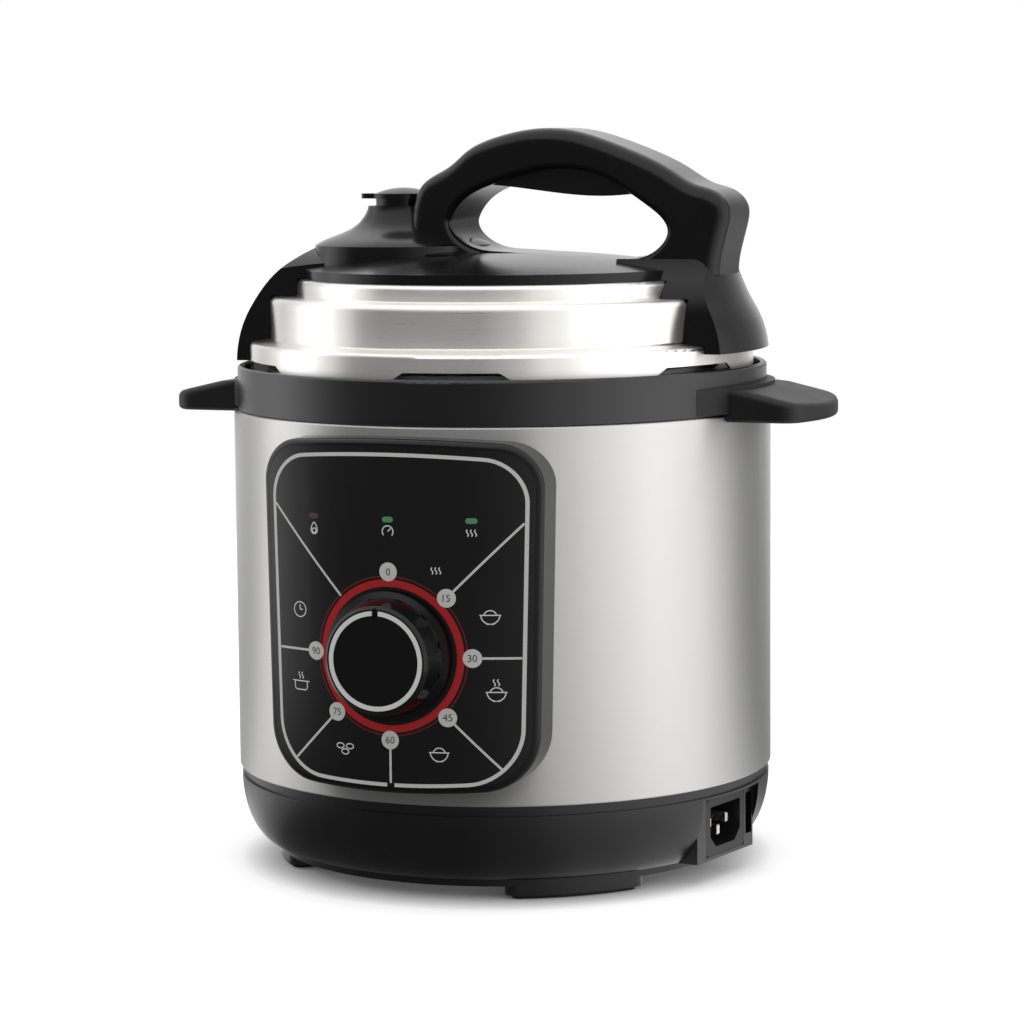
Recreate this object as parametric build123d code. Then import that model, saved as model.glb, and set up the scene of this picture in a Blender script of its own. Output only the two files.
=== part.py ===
from build123d import *
import os
from math import cos, radians, sin, sqrt

# Electric pressure cooker, 3 litre class.  Millimetres, +Z up.
# Origin: on the pot axis, at the plane that the feet stand on.
# The control panel faces -Y, the side handles point along +X and -X,
# and the condensate cup hangs at the back, on +Y.

# ---------------------------------------------------------------- fits
RUN_FIT = 0.05        # radial clearance of a turning or sliding fit
GAP = 0.3             # between faces that pass or stand beside each other
SEAT_GAP = 0.1        # under a formed part that is clamped in place

# ---------------------------------------------------------------- vessel
POT_INNER_R = 88.0
POT_WALL = 1.5
POT_BOTTOM = 2.5
POT_DEPTH = 136.3
POT_FLANGE = 6.0      # how far the rim stands out past the pot wall
POT_GAP = 1.5         # pot wall to liner
LINER_WALL = 1.2
LUG_REACH = 8.6       # bayonet lugs, out from the liner wall
LUG_THICK = 2.0
LUG_HALF_ANGLE = 11.5
LUG_COUNT = 6
LUG_FIRST_ANGLE = -80.0   # first lug and first lid slot, from +X
INSULATION_GAP = 17.0     # liner to outer shell
PLATE_INSET = 6.0         # edge of the cast heating plate inside the pot wall
PLATE_THICK = 11.0
PLATE_FEET = 3.0
SENSOR_CAP_R = 11.0

# ---------------------------------------------------------------- body
FOOT_HEIGHT = 5.5         # floor of the base above the table
PAD_THICK = 1.5
BASE_DEPTH = 34.5         # bowl of the base, floor to shell
BASE_WALL = 2.5
SHELL_HEIGHT = 146.2
SHELL_WALL = 0.8
SHELL_LIP = 3.0           # rolled edge at top and bottom
BAND_HEIGHT = 18.0
BAND_WALL = 2.6
BAND_INSET = 1.6          # band face behind the shell face
SIDE_HANDLE_REACH = 31.6  # past the band
SIDE_HANDLE_HALF_WIDTH = 31.0
SIDE_HANDLE_TIP_DROP = 7.6

# ---------------------------------------------------------------- lid
LID_WALL = 1.2
LID_FLANGE_STAND = 10.8   # lid skirt outside the liner wall
LID_STEP_1 = 8.5          # radial width of the lower step
LID_STEP_2 = 11.0         # radial width of the upper step
LID_SKIRT_RISE = 9.2      # flange top above the band
LID_MID_RISE = 18.4       # wall of the middle step
LID_TOP_RISE = 7.0        # wall of the top step
TOOTH_THICK = 1.8
TOOTH_REACH = 4.8
TOOTH_DROP = 7.7          # skirt below the top of the band
SLOT_TOP_RISE = 2.3       # slot top above the band

# ---------------------------------------------------------------- lid cover
COVER_INSET = 3.5         # disc edge inside the top step
COVER_EDGE = 4.0
COVER_DOME = 6.8
SPINE_HALF_WIDTH = 30.0
COVER_WALL = 3.0
HANDLE_HALF_WIDTH = 18.5
HANDLE_RISE = 60.4        # top of the arch above the lid top
VALVE_X = -43.0
BOSS_TOP_R = 14.6
BOSS_RISE = 29.2
VALVE_HOLE_R = 12.2
FLOAT_X = -20.0
FLOAT_Y = 34.0
FLOAT_TRAVEL = 5.0

# ---------------------------------------------------------------- panel
PANEL_STAND = 12.0        # panel face in front of the shell
PANEL_HALF_TOP = 58.2     # half widths of the outline, top and bottom
PANEL_HALF_LOW = 55.6
PANEL_BASE = 6.6          # lowest point above the shell's lower edge
PANEL_HEIGHT = 136.2
PANEL_ARCH = 3.0          # how far top and bottom edges bow outwards
PANEL_WALL = 2.6
PANEL_MARGIN = 2.4        # border round the face plate
FACE_THICK = 0.8
DIAL_RISE = 59.8          # dial centre above the shell's lower edge
KNOB_R = 24.0
KNOB_FACE_R = 19.2
KNOB_LENGTH = 12.6
KNOB_GAP = 1.0
KNOB_LOBES = 12
SHAFT_R = 3.0
LIGHT_RISE = 112.2
LIGHT_PITCH = 32.5
TIMER_WIDTH = 42.0
TIMER_HEIGHT = 42.0

# ---------------------------------------------------------------- inlet
INLET_ANGLE = -11.3       # direction that the appliance inlet faces, from +X
INLET_SET_BACK = 5.2      # its face behind the side of the base
INLET_RISE = 22.0         # its centre above the table
INLET_WIDTH = 24.5
INLET_HEIGHT = 16.5
INLET_DEPTH = 15.0

# ---------------------------------------------------------------- condensate cup
CUP_WIDTH = 38.0
CUP_DEPTH = 22.2
CUP_HEIGHT = 40.0
CUP_WALL = 1.6

# ---------------------------------------------------------------- derived radii
pot_outer_r = POT_INNER_R + POT_WALL
plate_r = POT_INNER_R - PLATE_INSET
liner_inner_r = pot_outer_r + POT_GAP
liner_outer_r = liner_inner_r + LINER_WALL
shell_inner_r = liner_outer_r + INSULATION_GAP
shell_outer_r = shell_inner_r + SHELL_WALL
band_outer_r = shell_outer_r - BAND_INSET
band_inner_r = band_outer_r - BAND_WALL
lid_skirt_r = liner_outer_r + LID_FLANGE_STAND
lid_mid_r = lid_skirt_r - LID_STEP_1
lid_top_r = lid_mid_r - LID_STEP_2
cover_r = lid_top_r - COVER_INSET
panel_face_r = shell_outer_r + PANEL_STAND

# ---------------------------------------------------------------- derived levels
shell_z = FOOT_HEIGHT + BASE_DEPTH
band_z = shell_z + SHELL_HEIGHT
rim_z = band_z + BAND_HEIGHT
tooth_z = rim_z - TOOTH_DROP
lug_z = tooth_z + TOOTH_THICK + 0.7
lug_top_z = lug_z + LUG_THICK
pot_rim_z = lug_top_z + GAP
pot_floor_z = pot_rim_z + POT_WALL - POT_DEPTH
plate_top_z = pot_floor_z - POT_BOTTOM
liner_floor_z = plate_top_z - PLATE_THICK - PLATE_FEET
bracket_top_z = liner_floor_z - LINER_WALL
lid_flange_z = rim_z + LID_SKIRT_RISE
lid_mid_z = lid_flange_z + LID_MID_RISE
lid_top_z = lid_mid_z + LID_TOP_RISE
dial_z = shell_z + DIAL_RISE
light_z = shell_z + LIGHT_RISE

UP = (Align.CENTER, Align.CENTER, Align.MIN)


# ================================================================ helpers
def save(node, shape):
    """Write one sub-part as a STEP file named after its node."""
    pieces = shape if isinstance(shape, list) else [shape]
    solids = [solid for piece in pieces for solid in piece.solids()]
    export_step(solids[0] if len(solids) == 1 else Compound(solids), f"parts/{node}.step")


def turn(face):
    """Revolve an outline drawn as (radius, height) about the body axis."""
    return revolve(Plane.XZ * face, Axis.Z)


def turned(*points, radii=None):
    """Revolve a closed outline of (radius, height) points, with optional corner radii."""
    if radii is None:
        return turn(make_face(Polyline(*points, close=True)))
    return turn(make_face(FilletPolyline(*points, radius=radii, close=True)))


def tube(r_out, r_in, z0, z1):
    """A plain ring about the body axis."""
    return turned((r_in, z0), (r_out, z0), (r_out, z1), (r_in, z1))


def disc(r, z0, z1, x=0.0, y=0.0):
    """An upright cylinder."""
    return Pos(x, y, z0) * Cylinder(r, z1 - z0, align=UP)


def sector(r_in, r_out, z0, z1, middle, half_angle):
    """A piece of a ring, centred on an angle from +X."""
    def at(r, angle):
        return (r * cos(radians(angle)), r * sin(radians(angle)))

    line = Line(at(r_in, -half_angle), at(r_out, -half_angle))
    line += ThreePointArc(at(r_out, -half_angle), (r_out, 0), at(r_out, half_angle))
    line += Line(at(r_out, half_angle), at(r_in, half_angle))
    line += ThreePointArc(at(r_in, half_angle), (r_in, 0), at(r_in, -half_angle))
    return Rot(0, 0, middle) * Pos(0, 0, z0) * extrude(make_face(line), z1 - z0)


def around(shape, count, first=0.0):
    """Copies of a shape turned evenly about the body axis."""
    return [Rot(0, 0, first + i * 360 / count) * shape for i in range(count)]


def facing(origin, outward):
    """A plane whose z points outward and whose y points up."""
    return Plane(origin=origin, x_dir=Vector(0, 0, 1).cross(Vector(*outward)), z_dir=outward)


def screw(shank_r, length, head_r, head_h):
    """A pan-head screw: head above z=0, shank below, with a cross recess."""
    body = Cylinder(head_r, head_h, align=UP) + Pos(0, 0, -length) * Cylinder(shank_r, length, align=UP)
    body = chamfer(body.edges().group_by(Axis.Z)[-1], head_h * 0.35)
    for turn_by in (0, 90):
        recess = Box(head_r * 1.2, head_h * 0.35, head_h, align=UP)
        body -= Rot(0, 0, turn_by) * Pos(0, 0, head_h * 0.5) * recess
    return body


# ================================================================ base
BASE_INSET = 0.8          # bowl behind the shell face
BASE_RIM = 2.7            # upright edge of the floor, below the bowl's curve
GROOVE_DEPTH = 1.0
GROOVE_HEIGHT = 4.0
BOWL_CORNER = (15.0, 27.8)     # width and height of the bowl's curve
SPIGOT_HEIGHT = 8.0
SPIGOT_ROOT = 6.0
FOOT_WIDTH = 17.0
FOOT_INSET = 0.4          # feet inside the upright edge of the floor
FOOT_CORNER = 5.0
FOOT_HALF_ANGLE = 18.5
FOOT_ANGLES = (-155.0, -51.0, 51.0, 155.0)
PAD_MARGIN = 2.0
POST_R = 5.0
POST_AT = liner_outer_r + 6.3
POST_BORE = 14.0
BRACKET_THICK = 2.0
BRACKET_WIDTH = 18.0
BRACKET_SCREW_R = 1.6
VENT_COUNT = 12
VENT_SIZE = (26.0, 3.0)
VENT_MARGIN = 20.0        # vent slots' outer ends inside the feet
post_top_z = bracket_top_z - BRACKET_THICK
base_r = shell_outer_r - BASE_INSET
foot_outer_r = base_r - BOWL_CORNER[0] - FOOT_INSET
foot_inner_r = foot_outer_r - FOOT_WIDTH
vent_at = foot_inner_r - VENT_MARGIN - VENT_SIZE[0] / 2
spigot_r = shell_outer_r - SHELL_LIP - GAP
inlet_stand = base_r - INLET_SET_BACK
inlet_out = (cos(radians(INLET_ANGLE)), sin(radians(INLET_ANGLE)), 0)
inlet_plane = facing((inlet_stand * inlet_out[0], inlet_stand * inlet_out[1], INLET_RISE), inlet_out)
INLET_FRAME = 3.2         # socket rim round the opening
INLET_BODY_WALL = 1.8
INLET_RIM_THICK = 2.0
INLET_CHAMFER = 4.5
INLET_PIN = (2.0, 4.0)
INLET_PIN_PLACES = ((-7.0, 1.0), (0.0, -3.0), (7.0, 1.0))
INLET_PIN_SET_BACK = 3.0
INLET_TAIL = 7.0          # solder tail behind the socket
INLET_BLOCK = (46.0, 26.0, 16.0)
INLET_NOTCH = 5.0         # grip notch beside the socket
inlet_frame = (INLET_WIDTH + 2 * INLET_FRAME, INLET_HEIGHT + 2 * INLET_FRAME)
inlet_well = (INLET_WIDTH + 2 * INLET_BODY_WALL, INLET_HEIGHT + 2 * INLET_BODY_WALL)


def bowl_face(inset):
    """Half section of the base bowl, drawn as (radius, height)."""
    a, b = BOWL_CORNER[0] - inset * 0.2, BOWL_CORNER[1] - inset
    r, floor = base_r - inset, FOOT_HEIGHT + inset
    rim = floor + BASE_RIM
    corner = EllipticalCenterArc((r - a, rim + b), a, b, -90, arc_size=90)
    line = Polyline((r, rim + b), (r, shell_z), (0, shell_z), (0, floor), (r - a, floor), (r - a, rim))
    return make_face(line + corner)


def base_housing():
    bowl = turn(bowl_face(0.0))
    bowl -= tube(base_r + 5, base_r - GROOVE_DEPTH, shell_z - GROOVE_HEIGHT, shell_z)
    bowl -= turn(bowl_face(BASE_WALL))
    bowl += tube(spigot_r, spigot_r - BASE_WALL, shell_z - SPIGOT_ROOT, shell_z + SPIGOT_HEIGHT)
    for angle in FOOT_ANGLES:
        foot = sector(foot_inner_r, foot_outer_r, PAD_THICK, FOOT_HEIGHT + 1, angle, FOOT_HALF_ANGLE)
        bowl += fillet(foot.edges().filter_by(Axis.Z), FOOT_CORNER)
    within = turn(bowl_face(BASE_WALL / 2))
    post = disc(POST_R, FOOT_HEIGHT + 1, post_top_z, POST_AT)
    hole = disc(BRACKET_SCREW_R + RUN_FIT, post_top_z - POST_BORE, post_top_z, POST_AT)
    for piece in around(post, 4, 45):
        bowl += piece & within
    for piece in around(hole, 4, 45):
        bowl -= piece
    width, height, depth = INLET_BLOCK
    bowl += inlet_plane * Pos(0, 0, -depth / 2) * Box(width, height, depth)
    bowl -= inlet_plane * Pos(0, 0, depth / 2) * Box(width, height, depth)
    bowl -= inlet_plane * Box(inlet_frame[0] + GAP, inlet_frame[1] + GAP, 2 * INLET_RIM_THICK)
    bowl -= inlet_plane * Box(inlet_well[0] + GAP, inlet_well[1] + GAP, 4 * depth)
    notch_x = inlet_frame[0] / 2 + INLET_NOTCH * 0.8
    bowl -= inlet_plane * Pos(notch_x, 1, 0) * Box(INLET_NOTCH, inlet_frame[1] - 6, depth)
    for piece in around(Pos(vent_at, 0, FOOT_HEIGHT) * Box(*VENT_SIZE, 4 * BASE_WALL), VENT_COUNT):
        bowl -= piece
    return bowl


def foot_pads():
    inner, outer = foot_inner_r + PAD_MARGIN, foot_outer_r - PAD_MARGIN
    pads = []
    for angle in FOOT_ANGLES:
        pad = sector(inner, outer, 0, PAD_THICK, angle, FOOT_HALF_ANGLE - PAD_MARGIN)
        pads.append(fillet(pad.edges().filter_by(Axis.Z), FOOT_CORNER - PAD_MARGIN))
    return pads


def inlet_socket():
    rim = Pos(0, 0, -INLET_RIM_THICK / 2) * Box(*inlet_frame, INLET_RIM_THICK)
    rim = fillet(rim.edges().filter_by(Axis.Z), 2.0)
    depth = INLET_DEPTH + INLET_BODY_WALL
    body = rim + Pos(0, 0, -depth / 2) * Box(*inlet_well, depth)
    w, h, c = INLET_WIDTH / 2, INLET_HEIGHT / 2, INLET_CHAMFER
    outline = Polyline((-w, h), (w, h), (w, c - h), (w - c, -h), (c - w, -h), (-w, c - h), close=True)
    body -= Pos(0, 0, -INLET_DEPTH) * extrude(make_face(outline), depth)
    for x, y in INLET_PIN_PLACES:
        body -= Pos(x, y, -depth) * Box(INLET_PIN[0] + RUN_FIT, INLET_PIN[1] + RUN_FIT, depth)
    return inlet_plane * body


def inlet_pins():
    wide, thick = INLET_PIN
    length = INLET_DEPTH + INLET_BODY_WALL + INLET_TAIL - INLET_PIN_SET_BACK
    pins = []
    for x, y in INLET_PIN_PLACES:
        blade = Pos(x, y, -INLET_PIN_SET_BACK - length / 2) * Box(wide, thick, length)
        blade = chamfer(blade.edges().group_by(Axis.Z)[-1], 0.4)
        pins.append(inlet_plane * blade)
    return pins


# ================================================================ shell and band
WINDOW_HALF_WIDTH = 38.5
WINDOW_LOW = 34.0         # window for the panel parts, above the shell's lower edge
WINDOW_HIGH = 128.0
WEB_THICK = 2.5
WEB_DROP = 9.7            # top of the band's web below the band's top
BAND_SPIGOT = 8.0
DRAIN_R = 2.0             # lets condensate out of the trough, at the back
web_z = rim_z - WEB_DROP
HANDLE_SCREW_ANGLE = 9.0
HANDLE_SCREW_R = 1.6
HANDLE_SCREW_HEAD_R = 3.2
HANDLE_SCREW_RISE = 2.6   # above the bottom of the band
ROOT_HALF_ANGLE = 25.0
ROOT_THICK = 5.0
handle_low_z = band_z - 2.4
handle_screw_z = band_z + HANDLE_SCREW_RISE
SIDE_HANDLE_SCREW = 12.0
SIDE_HANDLE_TIP_ROUND = 7.0
SIDE_HANDLE_CORNER = 9.0
SIDE_HANDLE_DEPTH = 13.8
SIDE_HANDLE_WALL = 2.4


def outer_shell():
    shell = tube(shell_outer_r, shell_inner_r, shell_z, band_z)
    for z in (shell_z, band_z - SHELL_WALL):
        shell += tube(shell_outer_r, shell_outer_r - SHELL_LIP, z, z + SHELL_WALL)
    rims = shell.edges().filter_by(GeomType.CIRCLE).filter_by(lambda e: e.radius > shell_outer_r - 0.1)
    shell = fillet(rims, 0.6)
    low, high = shell_z + WINDOW_LOW, shell_z + WINDOW_HIGH
    window = Box(2 * WINDOW_HALF_WIDTH, 4 * INSULATION_GAP, high - low)
    window = Pos(0, -shell_outer_r, (low + high) / 2) * window
    shell -= fillet(window.edges().filter_by(Axis.Y), 8.0)
    for x, z in panel_screw_places():
        shell -= Pos(x, -shell_outer_r, z) * Rot(90, 0, 0) * Cylinder(PANEL_SCREW_R + GAP, 60)
    for x in (-CUP_SCREW_X, CUP_SCREW_X):
        shell -= Pos(x, shell_outer_r, cup_screw_z) * Rot(90, 0, 0) * Cylinder(CUP_SCREW_R + GAP, 60)
    return shell


def handle_screw_holes(radius, start, end):
    """Radial bores for the side-handle screws, on both sides, between two distances from the axis."""
    bores = []
    for side in (0, 180):
        for angle in (-HANDLE_SCREW_ANGLE, HANDLE_SCREW_ANGLE):
            bore = Pos(start, 0, handle_screw_z) * Rot(0, 90, 0) * Cylinder(radius, end - start, align=UP)
            bores.append(Rot(0, 0, side + angle) * bore)
    return bores


def rim_band():
    inner, outer = band_inner_r, band_outer_r
    spigot = shell_outer_r - SHELL_LIP - GAP
    band = turned(
        (inner, band_z), (outer, band_z), (outer, rim_z), (inner, rim_z),
        radii=(0, 0.6, 1.4, 0.8),
    )
    band += tube(inner + 0.5, liner_outer_r + 3.3, web_z - WEB_THICK, web_z)
    band += tube(spigot, spigot - 2.2, band_z - BAND_SPIGOT, band_z + 1)
    band -= Pos(0, band_inner_r, web_z + DRAIN_R * 0.5) * Rot(90, 0, 0) * Cylinder(DRAIN_R, 4 * BAND_WALL)
    for bore in handle_screw_holes(HANDLE_SCREW_R + RUN_FIT, inner - 5, outer + 5):
        band -= bore
    for recess in handle_screw_holes(HANDLE_SCREW_HEAD_R + GAP, inner - 5, inner - 0.5):
        band -= recess
    return band


def handle_root():
    """A pad that swells off the band under the handle and fades out on both sides."""
    end_x = band_outer_r * cos(radians(ROOT_HALF_ANGLE))
    end_y = band_outer_r * sin(radians(ROOT_HALF_ANGLE))
    apex = band_outer_r + ROOT_THICK
    middle = (apex ** 2 - end_x ** 2 - end_y ** 2) / (2 * (apex - end_x))
    return disc(apex - middle, band_z + 1, handle_low_z + SIDE_HANDLE_DEPTH, middle) - disc(end_x, 0, rim_z)


def side_handle():
    """The handle on +X; the other one is its half-turn copy."""
    tip = band_outer_r + SIDE_HANDLE_REACH
    half, corner_x = SIDE_HANDLE_HALF_WIDTH, tip - SIDE_HANDLE_TIP_ROUND
    root = liner_outer_r
    top_z = handle_low_z + SIDE_HANDLE_DEPTH
    line = Polyline((corner_x, half), (root, half), (root, -half), (corner_x, -half))
    line += ThreePointArc((corner_x, -half), (tip, 0), (corner_x, half))
    plan = fillet(make_face(line).vertices().group_by(Axis.X)[-1], SIDE_HANDLE_CORNER)
    body = Pos(0, 0, handle_low_z) * extrude(plan, SIDE_HANDLE_DEPTH + 2)
    slope = Polyline(
        (root, top_z), (band_outer_r + 6, top_z - 1.5), (tip + 5, top_z - SIDE_HANDLE_TIP_DROP - 1),
        (tip + 5, top_z + 20), (root, top_z + 20), close=True,
    )
    body -= Pos(0, half + 5, 0) * extrude(Plane.XZ * make_face(slope), 2 * half + 10)
    rim = body.edges().group_by(Axis.Z)[0].filter_by(lambda e: e.center().X > root + 1)
    body = fillet(rim, 2.0)
    upper = body.faces().filter_by(lambda f: f.normal_at().Z > 0.5).sort_by(Axis.X)
    body = fillet(upper[-1].edges().filter_by(lambda e: e.center().X > root + 1), 3.0)
    pocket = offset(plan, -SIDE_HANDLE_WALL)
    pocket_top = top_z - SIDE_HANDLE_TIP_DROP - SIDE_HANDLE_WALL
    hollow = Pos(0, 0, handle_low_z - 1) * extrude(pocket, pocket_top - handle_low_z)
    body -= hollow - disc(band_outer_r + SIDE_HANDLE_SCREW, 0, rim_z)
    for y in (-half / 3, half / 3):
        rib = Pos((band_outer_r + tip) / 2 - 3, y, handle_low_z + 1)
        body += rib * Box(tip - band_outer_r - 12, 2.0, pocket_top - handle_low_z, align=UP)
    body += handle_root()
    body -= disc(band_outer_r + SEAT_GAP, 0, rim_z + 20)
    body -= disc(shell_outer_r + SEAT_GAP, 0, band_z + SEAT_GAP)
    reach = band_outer_r + SIDE_HANDLE_SCREW + 1
    for bore in handle_screw_holes(HANDLE_SCREW_R + RUN_FIT, band_inner_r, reach):
        body -= bore
    return body


def handle_screws():
    screws = []
    head = screw(HANDLE_SCREW_R, SIDE_HANDLE_SCREW + BAND_WALL, HANDLE_SCREW_HEAD_R, 2.2)
    for side in (0, 180):
        for angle in (-HANDLE_SCREW_ANGLE, HANDLE_SCREW_ANGLE):
            place = Pos(band_inner_r - 0.6, 0, handle_screw_z) * Rot(0, -90, 0)
            screws.append(Rot(0, 0, side + angle) * place * head)
    return screws


# ================================================================ vessel
HEATER_STUD_R = 3.0
HEATER_STUD_AT = plate_r - 14.0
HEATER_RING = (34.0, 22.0)     # the heating element in the casting, inside the plate edge
HEATER_STUD_ANGLES = (90.0, 210.0, 330.0)
TERMINAL_AT = plate_r - 16.0
TERMINAL_LENGTH = 14.0
TERMINAL_R = 3.5
TERMINAL_ANGLES = (-97.0, -83.0)
SENSOR_HOLE_R = 14.0
SENSOR_STEM_R = 4.0
SPRING_R = 7.0
SPRING_WIRE_R = 0.6
SPRING_TURNS = 5


def pressure_liner():
    floor = liner_floor_z
    liner = turned(
        (0, floor - LINER_WALL), (liner_outer_r, floor - LINER_WALL), (liner_outer_r, lug_top_z),
        (liner_inner_r, lug_top_z), (liner_inner_r, floor), (0, floor),
        radii=(0, 9.0, 0, 0, 9.0 - LINER_WALL, 0),
    )
    liner += tube(lid_skirt_r - LID_WALL - TOOTH_REACH - 1.0, liner_outer_r - 0.5, lug_z, lug_top_z)
    reach = liner_outer_r + LUG_REACH
    lug = sector(liner_outer_r, reach, lug_z, lug_top_z, 0, LUG_HALF_ANGLE)
    for lug in around(lug, LUG_COUNT, LUG_FIRST_ANGLE):
        liner += lug
    liner -= disc(SENSOR_HOLE_R, floor - 2, floor + 1)
    for angle in HEATER_STUD_ANGLES:
        liner -= Rot(0, 0, angle) * disc(HEATER_STUD_R + GAP, floor - 2, floor + 1, HEATER_STUD_AT)
    for angle in TERMINAL_ANGLES:
        liner -= Rot(0, 0, angle) * disc(TERMINAL_R + GAP, floor - 2, floor + 1, TERMINAL_AT)
    return liner


def inner_pot():
    r, rim = POT_INNER_R, pot_rim_z
    inner, outer = 14.0, 14.0 + POT_WALL
    return turned(
        (0, plate_top_z), (pot_outer_r, plate_top_z), (pot_outer_r, rim), (pot_outer_r + POT_FLANGE, rim),
        (pot_outer_r + POT_FLANGE, rim + POT_WALL), (r, rim + POT_WALL), (r, pot_floor_z), (0, pot_floor_z),
        radii=(0, outer, 0.8, 0.6, 0.6, 2.0, inner, 0),
    )


def heating_plate():
    low = liner_floor_z + PLATE_FEET
    plate = turned(
        (SENSOR_HOLE_R, low + 3), (plate_r - 6, low + 3), (plate_r, low + 6), (plate_r, plate_top_z),
        (SENSOR_HOLE_R, plate_top_z), radii=(0, 2.0, 1.0, 2.0, 0),
    )
    inner, outer = plate_r - HEATER_RING[0], plate_r - HEATER_RING[1]
    plate += turned(
        (inner, low + 4), (inner, low - 1.5), (outer, low - 1.5), (outer, low + 4), radii=(0, 3.0, 3.0, 0),
    )
    for angle in HEATER_STUD_ANGLES:
        stud = disc(HEATER_STUD_R, liner_floor_z - 12, liner_floor_z + 1, HEATER_STUD_AT)
        plate += Rot(0, 0, angle) * disc(7.0, liner_floor_z, low + 4, HEATER_STUD_AT)
        plate += Rot(0, 0, angle) * stud
    return plate


def heater_nuts():
    top = liner_floor_z - LINER_WALL
    nut = extrude(RegularPolygon(6.0, 6), 4.0) - Cylinder(HEATER_STUD_R + RUN_FIT, 20)
    return [Rot(0, 0, a) * Pos(HEATER_STUD_AT, 0, top - 4.0) * nut for a in HEATER_STUD_ANGLES]


def heater_terminals():
    pieces = []
    top = liner_floor_z + PLATE_FEET + 3
    for angle in TERMINAL_ANGLES:
        post = disc(TERMINAL_R, top - TERMINAL_LENGTH, top, TERMINAL_AT)
        post += Pos(TERMINAL_AT, 0, top - TERMINAL_LENGTH - 8) * Box(0.8, 5, 9, align=UP)
        pieces.append(Rot(0, 0, angle) * post)
    return pieces


def liner_bracket():
    long = 2 * (POST_AT + POST_R - 0.5)
    strip = Pos(0, 0, post_top_z) * Box(long, BRACKET_WIDTH, BRACKET_THICK, align=UP)
    strip = fillet(strip.edges().filter_by(Axis.Z), 4.0)
    cross = Rot(0, 0, 45) * strip + Rot(0, 0, 135) * strip + disc(26, post_top_z, bracket_top_z)
    cross -= disc(SENSOR_STEM_R + RUN_FIT, post_top_z - 1, bracket_top_z + 1)
    for hole in around(disc(BRACKET_SCREW_R + GAP, post_top_z - 1, bracket_top_z + 1, POST_AT), 4, 45):
        cross -= hole
    return cross


def bracket_screws():
    return around(Pos(POST_AT, 0, bracket_top_z) * screw(BRACKET_SCREW_R, POST_BORE - 2, 3.2, 2.2), 4, 45)


def sensor_cap():
    top = plate_top_z - 0.2
    cap = turned(
        (0, top - 4), (SENSOR_CAP_R, top - 4), (SENSOR_CAP_R, top), (0, top), radii=(0, 0.8, 1.5, 0),
    )
    return cap + disc(SENSOR_STEM_R, post_top_z - 3, top - 3)


def sensor_spring():
    low, high = bracket_top_z, plate_top_z - 4.2
    height = high - low - 2 * SPRING_WIRE_R
    path = Helix(height / SPRING_TURNS, height, SPRING_R, center=(0, 0, low + SPRING_WIRE_R))
    start = Plane(origin=path @ 0, z_dir=path % 0)
    return sweep(start * RegularPolygon(SPRING_WIRE_R, 6), path, is_frenet=True)


# ================================================================ switch gear
SWITCH_SIZE = (20.0, 7.0, 10.0)
FUSE_R = 2.7
FUSE_RISE = 15.0          # above the liner's floor
FUSE_LENGTH = 25.0
FUSE_LEAD = 6.0
FUSE_ANGLE = -150.0
fuse_at = liner_outer_r + FUSE_R
fuse_z = liner_floor_z + FUSE_RISE
PANEL_SCREW_R = 1.5
PANEL_SCREW_LENGTH = 11.0
PANEL_SCREW_HEAD_R = 2.5
PANEL_SCREW_X = 46.0
panel_screw_y = -sqrt(shell_inner_r ** 2 - (PANEL_SCREW_X + PANEL_SCREW_HEAD_R) ** 2)
PANEL_SCREW_RISES = (30.0, 118.0)


def pressure_switch():
    width, thick, height = SWITCH_SIZE
    top = post_top_z - 8.0
    body = Pos(0, 0, top - height) * Box(width, thick, height, align=UP)
    body = fillet(body.edges().filter_by(Axis.Y), 1.0)
    body += disc(1.2, top - 1, top + 2, 5)
    for x in (-7, 0, 7):
        body += Pos(x, 0, top - height - 5) * Box(3.0, 0.8, 6, align=UP)
    return body


def switch_lever():
    top = post_top_z - 6.0
    leaf = Pos(0, 0, top) * Box(26, 5, 0.5, align=UP)
    return leaf + Pos(-12.5, 0, post_top_z - 6.0) * Box(1.0, 5, 6.0, align=UP)


def switch_bracket():
    width, thick, height = SWITCH_SIZE
    floor = FOOT_HEIGHT + BASE_WALL
    top = post_top_z - 9.0
    plate = Pos(0, thick / 2 + 0.75, floor) * Box(width + 6, 1.5, top - floor, align=UP)
    foot = Pos(0, thick / 2 + 7, floor) * Box(width + 6, 14, 1.5, align=UP)
    return plate + foot


def thermal_fuse():
    fuse = disc(FUSE_R, fuse_z, fuse_z + FUSE_LENGTH, fuse_at)
    fuse += disc(0.6, fuse_z - FUSE_LEAD, fuse_z + FUSE_LENGTH + FUSE_LEAD, fuse_at)
    return Rot(0, 0, FUSE_ANGLE) * fuse


def fuse_clip():
    low, height = fuse_z + 8, 9.0
    clip = disc(FUSE_R + 0.9, low, low + height, fuse_at)
    clip += Pos(fuse_at, 0, low) * Box(1.0, 16, height, align=UP)
    clip -= disc(FUSE_R + RUN_FIT, low - 1, low + height + 1, fuse_at)
    clip -= disc(liner_outer_r, 0, rim_z)
    return Rot(0, 0, FUSE_ANGLE) * clip


def panel_screw_places():
    return [(x, shell_z + z) for x in (-PANEL_SCREW_X, PANEL_SCREW_X) for z in PANEL_SCREW_RISES]


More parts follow.
